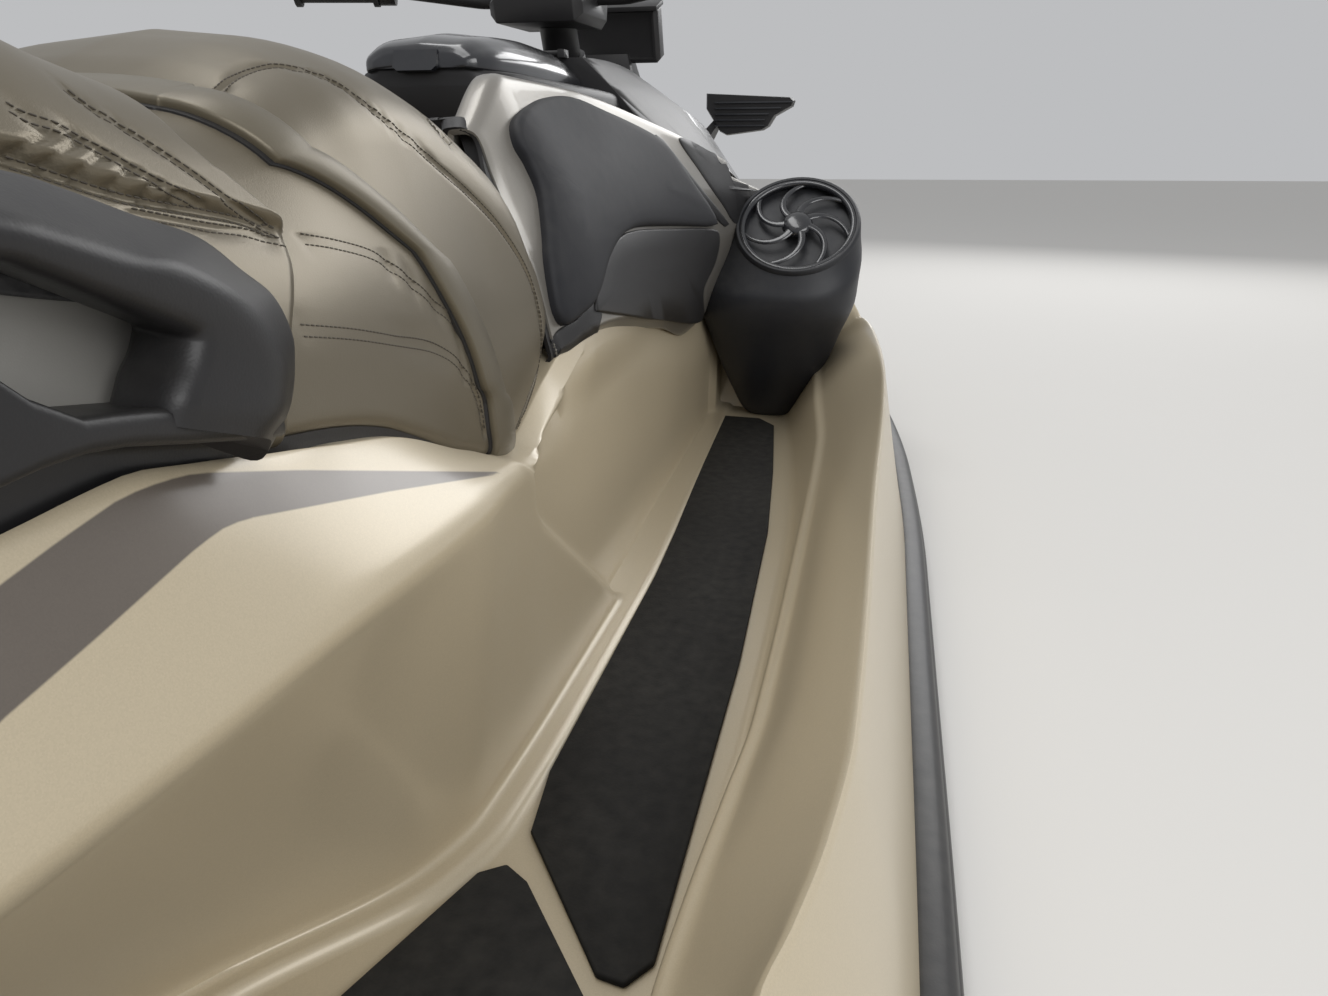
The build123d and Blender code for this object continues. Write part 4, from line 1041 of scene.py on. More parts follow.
def console_half(x):
    """Points of the fairing's port section at station x, from its lower edge over the crest."""
    low_y, low_z, bulge_y, bulge_z, crest_y, crest_z = row_at(CONSOLE, x)
    under_hood = smooth(*UNDER_HOOD_X, x)
    plane_z = hood_plane_z(x) - HAIR
    inner_z = crest_z - INNER_DROP * (1 - smooth(*INNER_DROP_ENDS_X, x))
    corners = [(low_y - 0.02, low_z - 0.02, 0), (low_y, low_z, 0.004), (bulge_y, bulge_z, 0.09),
               (crest_y, crest_z, 0.022), (crest_y - CREST_WIDTH, crest_z - 0.002, 0.006),
               (crest_y - CREST_WIDTH - 0.006, inner_z, 0), (crest_y - CREST_WIDTH - 0.008, inner_z, 0)]
    if under_hood > 0:
        corners = [(y, mix(z, min(z, plane_z), under_hood), r) for y, z, r in corners]
    return rounded_section(corners, CONSOLE_RUNS)


def make_console(name):
    """Satin fairing of the starboard side. Its rear edge sweeps forward and back with the height."""
    rows = []
    for share in stations((0.0, 0.10, 0.01), (0.10, 0.75, 0.0118), (0.75, 1.0, 0.016)):
        row = []
        for index, point in enumerate(console_half(mix(FAIRING_REAR_X, CONSOLE_FRONT_X, share))):
            x = mix(row_at(REAR_EDGE, point.y)[0], CONSOLE_FRONT_X, share)
            again = console_half(x)[index]
            row.append((x, -again.x, again.y))
        rows.append(row)
    fairing = skin(name, rows, fairing_satin, closed=False, caps=False, angle=40)
    thicken(fairing, FAIRING_THICKNESS, offset=-1.0)
    ease_edges(fairing, FAIRING_EDGE, segments=3, angle=50)
    smooth_piece(fairing, 40)
    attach(fairing, "root")
    return fairing


def make_lip(side, name):
    """Dark lip behind the fairing's rear edge, and the wall that closes the fairing towards the seat."""
    rows = []
    for index, flat in enumerate(console_half(FAIRING_REAR_X)[:-CONSOLE_RUNS[-1] - CREST_POINTS]):
        if flat.y > WALL_TOP_Z:
            break
        edge = row_at(REAR_EDGE, flat.y)[0]
        width = LIP_WIDTH * (1 - smooth(*LIP_ENDS_Z, flat.y))
        wall = edge + WALL_INSET
        nose_y = mix(WALL_LOW_Y, WALL_HIGH_Y, smooth(*NOSE_STEP_Z, flat.y))
        outer = console_half(edge - width)[index]
        inner = console_half(wall)[index]
        row = [(edge - width, outer.x - LIP_INSET, outer.y), (edge, outer.x - LIP_INSET, outer.y),
               (wall, inner.x - 2.4 * LIP_INSET, inner.y), (wall, min(nose_y, inner.x - WALL_GAP), inner.y)]
        rows.append([(x, side * y, z) for x, y, z in row])
    lip = skin(name, rows, black_satin, closed=False, caps=False)
    thicken(lip, LIP_THICKNESS, offset=0.0)
    smooth_piece(lip, 40)
    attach(lip, "root")


make_lip(-1, "fairing_lip_right")
make_lip(1, "fairing_lip_left")

fairing = make_console("fairing_right")
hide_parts("console")
fairing_left = mirrored_piece(fairing, "fairing_left")
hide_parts("console")
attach(fairing_left, "root")


# Seats

SEAT_RUNS = [6, 24, 26, 20, 12]
SEAT_FROM_X = -1.150
SEAT_TO_X = -0.205
DRIVER_FROM_X = -1.000
PASSENGER_RAISE = 0.0042
REAR_ROUND = 0.028
REAR_ROUND_SHARE = 0.13
HUMP_RAISE = 0.012
HUMP_TOP_X = -0.872
# Into how many steps edges, the passengers' cover and the strap are divided from foot to centreline
EDGE_STEPS = 60
HUMP_STEPS = 150
STRAP_STEPS = 140
EDGE_SPACING_PX = 14.0
# Share of the height up to which the cover's front edge is read, and stations past the edge, tucked under
FRONT_READ_TO = 0.62
TUCKED_SHARES = [1.012, 1.03]
TUCK_DEPTH = 0.006
GIRTH_X = -0.95
# Steps over which the seat's slope is taken, and the share from which it is level across
SLOPE_STEP_X = 0.004
SLOPE_STEP_SHARE = 0.012
LEVEL_SHARE = 0.985
# Least gap between two read rows, and the share from which the last row stands for the centreline
READ_GAP = 0.02
READ_LAST = 0.96
NO_AREA = 1e-12
# Heights or lengths over which the hump rises, the cover's front edge rounds and its end tucks under
HUMP_EASE = (0.0, 0.014)
FRONT_EASE = (-0.002, 0.009)
TUCK_EASE = (0.0, 0.004)
LOWER_EDGE_R = 0.016
SIDE_R = 0.12
SHOULDER_R = 0.07
CROWN_R = 0.06
GASKET_SPAN = (-0.965, -0.430, 0.02)
GASKET_INSET = 0.004
GASKET_DEPTH = 0.016
# Profiles across the strap and across the black band of painted shadow along its lower edge: share of the
# width, height over the seat
STRAP_PROFILE = [(0.012, -0.003), (0.0, 0.0005), (0.004, 0.0042), (0.025, 0.0062), (0.08, 0.0070),
                 (0.5, 0.0078), (0.92, 0.0070), (0.975, 0.0062), (0.996, 0.0042), (1.0, 0.0005),
                 (0.988, -0.003)]
STRAP_SHADE = [(-0.12, -0.001), (-0.10, 0.0012), (-0.02, 0.0016), (0.02, 0.0016), (0.04, -0.001)]


def seat_half(x):
    """Port half of the seat's section, from under its lower edge over the top to the centreline."""
    low_y, low_z, side_y, side_z, shoulder_y, shoulder_z, crown_y, crown_z, top_z = row_at(SEAT, x)
    corners = [(low_y - 0.05, low_z + 0.006, 0), (low_y, low_z, LOWER_EDGE_R), (side_y, side_z, SIDE_R),
               (shoulder_y, shoulder_z, SHOULDER_R), (crown_y, crown_z, CROWN_R), (0, top_z, 0)]
    return rounded_section(corners, SEAT_RUNS, arc=8)


seat_stations = stations((SEAT_FROM_X, SEAT_TO_X, 0.0025))
seat_sections = [seat_half(x) for x in seat_stations]
SEAT_COUNT = len(seat_sections[0])


def seat_place(x, share):
    """Port point of the seat's surface at station x and a share of the way up its section."""
    along = (min(max(x, SEAT_FROM_X), SEAT_TO_X) - SEAT_FROM_X) / (SEAT_TO_X - SEAT_FROM_X)
    along *= len(seat_sections) - 1
    row = min(int(along), len(seat_sections) - 2)
    up = min(max(share, 0.0), 1.0) * (SEAT_COUNT - 1)
    column = min(int(up), SEAT_COUNT - 2)
    low = seat_sections[row][column].lerp(seat_sections[row][column + 1], up - column)
    high = seat_sections[row + 1][column].lerp(seat_sections[row + 1][column + 1], up - column)
    flat = low.lerp(high, along - row)
    return Vector((x, flat.x, flat.y))


def seat_normal(x, share):
    """Outward direction of the seat's surface at a place."""
    along = seat_place(x + SLOPE_STEP_X, share) - seat_place(x - SLOPE_STEP_X, share)
    up = seat_place(x, share + SLOPE_STEP_SHARE) - seat_place(x, share - SLOPE_STEP_SHARE)
    normal = up.cross(along).normalized()
    return normal if share < LEVEL_SHARE else Vector((normal.x, 0, normal.z)).normalized()


def over_seat(x, share, lift):
    """Point that far out from the seat's surface."""
    return seat_place(x, share) + seat_normal(x, share) * lift


def seat_surface():
    """Search tree over the starboard half of the seat's plain surface."""
    points = [Vector((x, -p.x, p.y)) for x, half in zip(seat_stations, seat_sections) for p in half]
    return BVHTree.FromPolygons(points, strip_faces(len(seat_sections), SEAT_COUNT, closed=False))


seat_tree = seat_surface()


def section_share(point):
    """Share of the way up the seat's section at which a point lies."""
    half = seat_half(point.x)
    flat = Vector((abs(point.y), point.z))
    best, found = FAR, 0.0
    for index, (a, b) in enumerate(zip(half, half[1:])):
        side = b - a
        if side.length_squared < NO_AREA:
            continue
        t = min(max((flat - a).dot(side) / side.length_squared, 0.0), 1.0)
        gap = (a + side * t - flat).length
        if gap < best:
            best, found = gap, (index + t) / (SEAT_COUNT - 1)
    return found


def edge_rows(pixels, passes):
    """Rows (share, x) of a line of pixels laid on the seat, from its foot to the centreline."""
    found = sorted((section_share(place), place.x) for place, _ in drape(seat_tree, pixels, EDGE_SPACING_PX))
    rows = [(0.0, found[0][1])]
    for share, x in found:
        if share > rows[-1][0] + READ_GAP:
            rows.append((share, x))
    if rows[-1][0] < READ_LAST:
        rows.append((1.0, rows[-1][1]))
    rows = [(k / EDGE_STEPS, row_at(rows, k / EDGE_STEPS)[0]) for k in range(EDGE_STEPS + 1)]
    for _ in range(passes):
        rows = [rows[0]] + [(b[0], 0.25 * a[1] + 0.5 * b[1] + 0.25 * c[1])
                            for a, b, c in zip(rows, rows[1:], rows[2:])] + [rows[-1]]
    return rows


# Edges on the seat, in pixels of the photograph
HUMP_FRONT = [(57, 76), (83, 96), (113, 114), (150, 137), (187, 162), (217, 184), (260, 218), (289, 240),
              (292, 300), (291, 360), (285, 440)]
HUMP_FOOT = [(0, 165), (33, 175), (100, 197), (140, 207), (197, 217), (233, 224), (288, 238)]
STRAP_UPPER = [(80, 83), (133, 83), (207, 98), (267, 127), (330, 163), (408, 229), (454, 283), (485, 339),
               (505, 395), (511, 446)]
STRAP_LOWER = [(103, 102), (150, 107), (207, 127), (267, 157), (327, 187), (357, 206), (403, 247), (454, 316),
               (480, 374), (491, 447)]


def make_driver_seat():
    rows = [whole_section(x, seat_half(x)) for x in stations((DRIVER_FROM_X, SEAT_TO_X, 0.004))]
    seat = skin("driver_seat_cover", rows, seat_vinyl, angle=60)
    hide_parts("driver_seat")
    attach(seat, "root")
    return seat


def make_passenger_seat():
    """Passengers' cover: its front edge is the photograph's, with the raised hump above its foot line."""
    front = [(share, x) for share, x in edge_rows(HUMP_FRONT, 0) if share < FRONT_READ_TO]
    front.append((1.0, HUMP_TOP_X))
    foot = sorted((place.x, section_share(place))
                  for place, _ in drape(seat_tree, HUMP_FOOT, EDGE_SPACING_PX))
    section = seat_half(GIRTH_X)
    girth = sum((b - a).length for a, b in zip(section, section[1:]))
    columns = [k / HUMP_STEPS for k in range(HUMP_STEPS + 1)]
    rows = []
    for angle in range(0, 90, 10):
        x = SEAT_FROM_X + REAR_ROUND * (1 - math.cos(math.radians(angle)))
        lift = PASSENGER_RAISE - REAR_ROUND * (1 - math.sin(math.radians(angle)))
        places = [over_seat(x, share, lift) for share in columns]
        half = [(x, max(place.y, 0.0), place.z) for place in places[:-1]] + [(x, 0.0, places[-1].z)]
        rows.append(both_halves(half))
    shares = [share for share in stations((0.0, 0.80, 0.012), (0.80, 1.0, 0.006)) if share > REAR_ROUND_SHARE]
    for along in shares + TUCKED_SHARES:
        places = []
        for share in columns:
            edge_x = row_at(front, share)[0]
            x = mix(SEAT_FROM_X, edge_x, along)
            above_foot = (share - row_at(foot, x)[0]) * girth
            behind_edge = edge_x - x
            lift = mix(PASSENGER_RAISE, HUMP_RAISE, smooth(*HUMP_EASE, above_foot))
            lift = lift * smooth(*FRONT_EASE, behind_edge) - TUCK_DEPTH * smooth(*TUCK_EASE, -behind_edge)
            places.append(over_seat(x, share, lift))
        half = [(place.x, max(place.y, 0.0), place.z) for place in places[:-1]]
        rows.append(both_halves(half + [(places[-1].x, 0.0, places[-1].z)]))
    seat = skin("passenger_seat_cover", rows, seat_vinyl, angle=60)
    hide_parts("passenger_seat")
    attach(seat, "root")
    return seat


driver_seat = make_driver_seat()
passenger_seat = make_passenger_seat()

# Seam lines of the covers, in pixels of the photograph
CREST_SEAM = [(212, 95), (236, 76), (267, 66), (300, 69), (336, 83), (373, 110), (409, 140), (440, 168),
              (469, 194), (500, 228), (527, 272), (540, 318), (540, 360), (528, 400), (514, 436)]
UPPER_SIDE_SEAM = [(300, 238), (334, 244), (372, 255), (403, 275), (429, 298), (454, 323), (467, 344)]
LOWER_SIDE_SEAM = [(300, 330), (352, 334), (392, 340), (434, 347), (460, 366), (477, 396), (485, 436)]
NOSE_SEAM = [(419, 110), (433, 126), (447, 141)]
NOSE_CROSS_SEAM = [(447, 141), (456, 131), (465, 123)]
HUMP_SEAM = [(60, 84), (83, 102), (113, 121), (150, 144), (187, 169), (217, 191), (255, 220), (280, 234)]
HUMP_FOOT_SEAM = [(0, 160), (33, 170), (100, 192), (140, 202), (197, 212), (233, 219), (280, 234)]
LADDER_SEAM = [(0, 102), (27, 115), (60, 128), (107, 153), (133, 168), (180, 193), (203, 206)]
LADDER_RUNGS = [((7, 157), (62, 128)), ((38, 169), (83, 140)), ((72, 180), (107, 153)),
                ((110, 190), (133, 168)), ((140, 200), (157, 182)), ((167, 205), (180, 193))]
UNDER_SEAM = [(130, 212), (200, 225), (250, 233), (286, 243)]


GROOVE_HALF_WIDTH = 0.0022
SEAM_SPACING_PX = 2.0


def sew(piece, seams, name, thread, double=0.0034, depth=0.0028):
    """Presses seams into a cover and, where double is set, lays a row of stitches that far on each side."""
    tree = surface_of(piece)
    lines = [drape(tree, pixels, SEAM_SPACING_PX) for pixels in seams]
    lines = [line for line in lines if len(line) > 2]
    lines += [port_side(line) for line in lines]
    press_grooves(piece, lines, GROOVE_HALF_WIDTH, depth)
    if double:
        tree = surface_of(piece)
        rows = [shifted(tree, line, shift) for line in lines for shift in (-double, double)]
        make_stitches(name, rows, thread)


def shifted(tree, line, shift):
    """A line moved sideways over a surface."""
    moved = []
    for i, (place, normal) in enumerate(line):
        ahead = line[min(i + 1, len(line) - 1)][0] - line[max(i - 1, 0)][0]
        across = ahead.cross(normal).normalized()
        spot, facing, _, _ = tree.find_nearest(place + across * shift)
        moved.append((spot, facing))
    return moved


sew(driver_seat, [CREST_SEAM, UPPER_SIDE_SEAM, LOWER_SIDE_SEAM, NOSE_SEAM, NOSE_CROSS_SEAM],
    "driver_seat_stitches", thread_dark)
sew(passenger_seat, [HUMP_SEAM, HUMP_FOOT_SEAM, LADDER_SEAM, UNDER_SEAM], "passenger_seat_stitches",
    thread_dark, 0.0026, 0.002)
sew(passenger_seat, LADDER_RUNGS, None, None, 0.0, 0.0022)


def make_strap(name, profile, material):
    """Band over the driver's part between the photograph's two edges, with a profile across it."""
    upper = edge_rows(STRAP_UPPER, 6)
    lower = edge_rows(STRAP_LOWER, 6)
    half_rows = []
    for k in range(STRAP_STEPS + 1):
        share = k / STRAP_STEPS
        low_x = row_at(lower, share)[0]
        high_x = row_at(upper, share)[0]
        row = [over_seat(mix(low_x, high_x, across), share, lift) for across, lift in profile]
        half_rows.append([Vector((p.x, -p.y if share < 1 else 0.0, p.z)) for p in row])
    rows = half_rows + [[Vector((p.x, -p.y, p.z)) for p in row] for row in reversed(half_rows[:-1])]
    strap = skin(name, rows, material, angle=60)
    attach(strap, "root")
    return strap


strap_band = make_strap("seat_strap_band", STRAP_PROFILE, strap_web)
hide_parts("seat_strap")
# Painted shadow: a thin black band along the strap's lower edge stands in for the shade of the gap beneath it
make_strap("seat_strap_shade", STRAP_SHADE, black_satin)


def make_gasket():
    """Dark foot of the seat, set back from its lower edge."""
    rows = []
    for x in stations(GASKET_SPAN):
        low_y, low_z = row_at(SEAT, x)[:2]
        half = [(low_y - GASKET_INSET, low_z + GASKET_INSET), (low_y - 0.005, low_z - GASKET_DEPTH),
                (0.0, low_z - GASKET_DEPTH)]
        rows.append(whole_section(x, half) + [(x, 0.0, low_z + GASKET_INSET)])
    gasket = skin("seat_foot", rows, black_satin)
    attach(gasket, "root")


make_gasket()


# Grab rail and the moulding round the seat's tail

# Section of the rail: x, y and z of its upper inner edge, its outer ridge and its lower outer edge
RAIL_BAR = [
    (-1.230, 0.000, 0.582, -1.256, 0.000, 0.570, -1.254, 0.000, 0.547),
    (-1.229, 0.110, 0.581, -1.255, 0.112, 0.569, -1.253, 0.112, 0.546),
    (-1.222, 0.190, 0.579, -1.246, 0.202, 0.567, -1.244, 0.200, 0.544),
    (-1.190, 0.232, 0.574, -1.208, 0.262, 0.561, -1.206, 0.260, 0.540),
    (-1.130, 0.250, 0.568, -1.150, 0.286, 0.553, -1.150, 0.284, 0.535),
    (-1.071, 0.252, 0.559, -1.111, 0.289, 0.544, -1.112, 0.286, 0.531),
    (-1.045, 0.252, 0.552, -1.091, 0.289, 0.538, -1.095, 0.286, 0.525),
    (-1.016, 0.253, 0.542, -1.064, 0.289, 0.529, -1.073, 0.286, 0.515),
    (-0.986, 0.258, 0.531, -1.043, 0.289, 0.524, -1.054, 0.286, 0.506),
    (-0.969, 0.264, 0.516, -1.017, 0.289, 0.512, -1.037, 0.286, 0.498),
    (-0.955, 0.269, 0.503, -1.003, 0.289, 0.500, -1.033, 0.286, 0.495),
    (-0.949, 0.272, 0.485, -0.992, 0.289, 0.488, -1.034, 0.286, 0.492),
    (-0.953, 0.274, 0.472, -0.986, 0.289, 0.477, -1.038, 0.286, 0.486),
    (-0.957, 0.274, 0.460, -0.987, 0.289, 0.467, -1.044, 0.286, 0.480),
    (-0.964, 0.274, 0.450, -0.992, 0.289, 0.457, -1.048, 0.286, 0.474),
    (-0.979, 0.274, 0.440, -1.004, 0.287, 0.449, -1.051, 0.284, 0.466),
]
RAIL_DEPTH = 0.034
RAIL_INNER_DROP = 0.012
RAIL_STEPS = 6
RAIL_ROUND = 0.011
# Half-breadths between which the rail turns from the cross bar into the side bars
RAIL_BEND_Y = (0.12, 0.24)
RAIL_LOW_RISE = 0.005
RAIL_TOP_SHARE = 0.25
MOULDING_ROUND = 0.005
MOULDING_FRONT_X = -1.152
MOULDING_DEPTH = 0.085
MOULDING_WALL = 0.003
MOULDING_CORNER_Y = 0.2
WALL_CLEARANCE = 0.03
# Moulding under the rail: station x, outer y, low z and top z
TAIL_MOULDING = [
    (-1.240, 0.000, 0.452, 0.500), (-1.236, 0.110, 0.452, 0.500), (-1.222, 0.190, 0.454, 0.504),
    (-1.190, 0.240, 0.458, 0.520), (-1.150, 0.268, 0.462, 0.532), (-1.122, 0.279, 0.464, 0.506),
    (-1.106, 0.281, 0.466, 0.490), (-1.088, 0.282, 0.466, 0.479), (-1.068, 0.282, 0.463, 0.476),
    (-1.040, 0.282, 0.456, 0.471), (-1.010, 0.282, 0.449, 0.462), (-0.990, 0.281, 0.444, 0.456),
    (-0.972, 0.276, 0.440, 0.450), (-0.958, 0.262, 0.437, 0.445),
]
WALL_Y = 0.2432
WALL_FOOT_Z = 0.424
RECESS_OUTLINE = [(-1.140, 0.450), (-0.976, 0.440), (-0.964, 0.455), (-0.985, 0.500), (-1.020, 0.520),
                  (-1.080, 0.536), (-1.140, 0.545)]
RECESS_Y = 0.245
WOVEN_OUTLINE = [(-1.110, 0.541), (-1.080, 0.528), (-1.061, 0.520), (-1.041, 0.512), (-1.042, 0.5095),
                 (-1.062, 0.5135), (-1.082, 0.518), (-1.110, 0.524)]
WOVEN_Y = 0.2515


def rounded_ring(corners, reach, arc):
    """Closed loop of points through rounded corners in space."""
    ring = []
    for i, corner in enumerate(corners):
        back = corners[i - 1] - corner
        ahead = corners[(i + 1) % len(corners)] - corner
        start = corner + back.normalized() * min(reach, RING_ROUND_SHARE * back.length)
        end = corner + ahead.normalized() * min(reach, RING_ROUND_SHARE * ahead.length)
        ring += [bent(start, corner, end, step / arc) for step in range(arc + 1)]
    return ring


def both_sides(rows):
    """Rows of the port half, from the centreline outwards, with their mirror images before them."""
    return [[Vector((p.x, -p.y, p.z)) for p in row] for row in reversed(rows[1:])] + rows


def make_grab_rail():
    edges = [smooth_line([row[column:column + 3] for row in RAIL_BAR], None, steps=RAIL_STEPS)
             for column in (0, 3, 6)]
    rows = []
    for upper, ridge, lower in zip(*edges):
        share = smooth(*RAIL_BEND_Y, abs(ridge.y))
        inward = Vector((RAIL_DEPTH * (1 - share), -RAIL_DEPTH * share, 0))
        low_in = lower + inward + Vector((0, 0, RAIL_LOW_RISE))
        high_in = upper + inward * RAIL_TOP_SHARE - Vector((0, 0, RAIL_INNER_DROP))
        rows.append(rounded_ring([upper, ridge, lower, low_in, high_in], RAIL_ROUND, 4))
    for p in rows[0]:
        p.y = 0.0
    rail = skin("grab_rail_bar", both_sides(rows), black_satin, angle=50)
    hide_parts("grab_rail")
    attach(rail, "root")


def make_tail_moulding():
    rows = []
    for x, y, low, top in TAIL_MOULDING:
        wall_y = min(WALL_Y, y - WALL_CLEARANCE)
        wall_foot = WALL_FOOT_Z if x > TAIL_END_X + 0.005 and y > WALL_Y else low - 0.004
        if y < MOULDING_CORNER_Y:
            wall = (min(x + MOULDING_DEPTH, MOULDING_FRONT_X), y * 0.9)
            wall_back = (wall[0] - MOULDING_WALL, wall[1])
        else:
            wall = (x, wall_y)
            wall_back = (x, wall_y + MOULDING_WALL)
        corners = [(x, y, top), (x, y, low), (*wall_back, low - 0.002), (*wall_back, wall_foot),
                   (*wall, wall_foot), (*wall, top)]
        rows.append(rounded_ring([Vector(corner) for corner in corners], MOULDING_ROUND, 3))
    for p in rows[0]:
        p.y = 0.0
    moulding = skin("tail_moulding", both_sides(rows), black_satin, angle=50)
    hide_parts("seat_base")
    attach(moulding, "root")


def make_plate(name, outline, y, thickness, material, bevel):
    """Upright plate from its (x, z) outline, on both sides of the craft."""
    count = len(outline)
    points = [(x, -y, z) for x, z in outline] + [(x, -y + thickness, z) for x, z in outline]
    faces = [tuple(range(count)), tuple(range(2 * count - 1, count - 1, -1))]
    faces += [(i, count + i, count + (i + 1) % count, (i + 1) % count) for i in range(count)]
    plate = new_piece(f"{name}_right", points, faces, material, 40)
    set_outward(plate)
    ease_edges(plate, bevel, segments=3, angle=30)
    smooth_piece(plate, 40)
    left = mirrored_piece(plate, f"{name}_left")
    for piece in (plate, left):
        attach(piece, "root")


make_grab_rail()
make_tail_moulding()
make_plate("recess_panel", RECESS_OUTLINE, RECESS_Y, 0.008, recess_grey, 0.002)
make_plate("woven_strip", WOVEN_OUTLINE, WOVEN_Y, 0.006, woven_trim, 0.0015)


# Trim on the fairing, and a dark sheet of painted shade along its lower edge, in pixels of the photograph

KNEE_PAD = [(509, 127), (515, 115), (530, 104), (550, 99), (570, 101), (600, 113), (630, 126), (654, 139),
            (669, 154), (690, 184), (712, 218), (708, 226), (668, 226), (634, 228), (616, 238), (604, 260),
            (596, 288), (588, 305), (575, 317), (561, 326), (553, 316), (548, 296), (543, 262), (541, 232),
            (536, 195), (524, 166), (513, 147)]
KNEE_SPINE = [(655, 190), (605, 172), (578, 200), (572, 250), (566, 300)]
KNEE_PROFILE = [(0, 0, -0.004), (0, 0, 0.006), (1.0, 0, 0.0085), (2.5, 0, 0.0105), (5, 0, 0.012),
                (9, 0, 0.013), (9, 0.3, 0.0135), (9, 0.6, 0.014), (9, 0.9, 0.014)]
PANEL = [(601, 262), (613, 241), (632, 231), (668, 229), (710, 229), (718, 237), (714, 262), (702, 290),
         (699, 321), (660, 319), (604, 313), (593, 306)]
PANEL_SPINE = [(630, 275), (680, 268)]
PANEL_PROFILE = [(0, 0, -0.003), (0, 0, 0.003), (0.8, 0, 0.0045), (2.0, 0, 0.005), (2.0, 0.5, 0.005),
                 (2.0, 1.0, 0.005)]
# Painted shade: the outline of a dark flat sheet over the shaded wedge between the fairing's lower edge and
# the deck's flank
SILL = [(591, 303), (601, 312), (600, 322), (594, 340), (576, 354), (558, 370), (547, 392), (540, 392),
        (547, 352), (557, 331), (575, 320)]
SILL_SPINE = [(588, 325), (560, 348), (548, 372)]
FLAT_PROFILE = [(0, 0, -0.003), (0, 0, 0.0008), (0.8, 0, 0.0016), (2.0, 0, 0.002), (2.0, 0.5, 0.002),
                (2.0, 0.95, 0.002)]
STRIP = [(655, 138), (662, 139), (696, 182), (729, 224), (725, 227), (713, 215), (690, 182), (670, 154)]
STRIP_SPINE = [(662, 146), (694, 184), (720, 220)]
INSERT = [(679, 138), (716, 153), (757, 170), (762, 180), (760, 196), (738, 224), (722, 204), (700, 172)]
INSERT_SPINE = [(705, 160), (735, 190)]

fairing_tree = surface_of(fairing)
pad_on("knee_pad", fairing_tree, KNEE_PAD, KNEE_SPINE, KNEE_PROFILE, pad_satin, "knee_pad_SIDE")
pad_on("side_panel", fairing_tree, PANEL, PANEL_SPINE, PANEL_PROFILE, black_satin, "side_panels")
# Painted shade, not a part: a black sheet laid where the fairing's foot lies in shadow
pad_on("sill_painted_shade", fairing_tree, SILL, SILL_SPINE, FLAT_PROFILE, black_satin, "side_panels")
pad_on("pad_strip", fairing_tree, STRIP, STRIP_SPINE, FLAT_PROFILE, black_satin, None)
pad_on("fairing_insert", fairing_tree, INSERT, INSERT_SPINE, FLAT_PROFILE, black_satin, None)


# Speaker pods

# Rows up the pod: centre z, x and y, half-width, half-depth, tilt of the section in degrees
POD_ROWS = [
    (0.060, 0.640, 0.330, 0.048, 0.052, 0), (0.070, 0.636, 0.331, 0.060, 0.062, 0),
    (0.110, 0.622, 0.333, 0.080, 0.080, 0), (0.165, 0.600, 0.335, 0.102, 0.097, 3),
    (0.245, 0.575, 0.338, 0.130, 0.116, 8), (0.320, 0.557, 0.342, 0.152, 0.130, 15),
    (0.375, 0.545, 0.350, 0.149, 0.132, 26), (0.417, 0.531, 0.366, 0.130, 0.126, 38),
    (0.443, 0.521, 0.378, 0.117, 0.117, 45),
]
POD_SIDES = 72
POD_STEPS = 40
# The steps crowd towards the foot, and the section turns from squarish to round near the top
POD_CROWDING = 1.35
POD_SQUARE = 2.6
POD_ROUNDS_Z = (0.36, 0.443)
ROUND = 2.0
# The top's rim and sunk face: share of the top's section, height over it
POD_RIM = [(1.0, 0.0), (0.99, 0.006), (0.965, 0.009), (0.93, 0.008), (0.915, 0.003), (0.905, -0.006),
           (0.895, -0.012), (0.5, -0.012)]

# Grille: a hoop, swept blades, and a cap as radius and height
HOOP_RADIUS = 0.104
HOOP_SIDES = 96
HOOP_WIRE = (0.007, 0.006)
HOOP_WIRE_SIDES = 12
HOOP_LIFT = 0.002
BLADES = 7
BLADE_TURN = 0.3
BLADE_SWEEP = 0.9
BLADE_CURL = 1.5
BLADE_ROOT_RADIUS = 0.024
BLADE_ROOT_LIFT = 0.010
BLADE_STEPS = 12
BLADE_SIDES = 10
BLADE_HALF_WIDTH = 0.0075
BLADE_HALF_THICKNESS = 0.0028
BLADE_TAPER = 0.45
CAP = [(0.001, 0.0165), (0.012, 0.016), (0.022, 0.0135), (0.028, 0.009), (0.029, 0.003), (0.026, -0.002)]
CAP_SIDES = 36


def pod_frame(row):
    """Place and axes of a pod's section, which leans back as it rises."""
    z, x, y, _, _, tilt = row
    lean = math.radians(tilt)
    across = Vector((0, -1, 0))
    back = Vector((-math.cos(lean), 0, -math.sin(lean)))
    up = Vector((-math.sin(lean), 0, math.cos(lean)))
    return Vector((x, -y, z)), across, back, up


def pod_loop(row, scale, lift, square):
    """Points round a pod's section, from a circle at square 2 to squarish above it."""
    place, across, back, up = pod_frame(row)
    loop = []
    for turn in turns(POD_SIDES):
        c, d = math.cos(turn), math.sin(turn)
        reach = (abs(c) ** square + abs(d) ** square) ** (-1 / square)
        loop.append(place + across * (row[3] * scale * reach * c) + back * (row[4] * scale * reach * d)
                    + up * lift)
    return loop


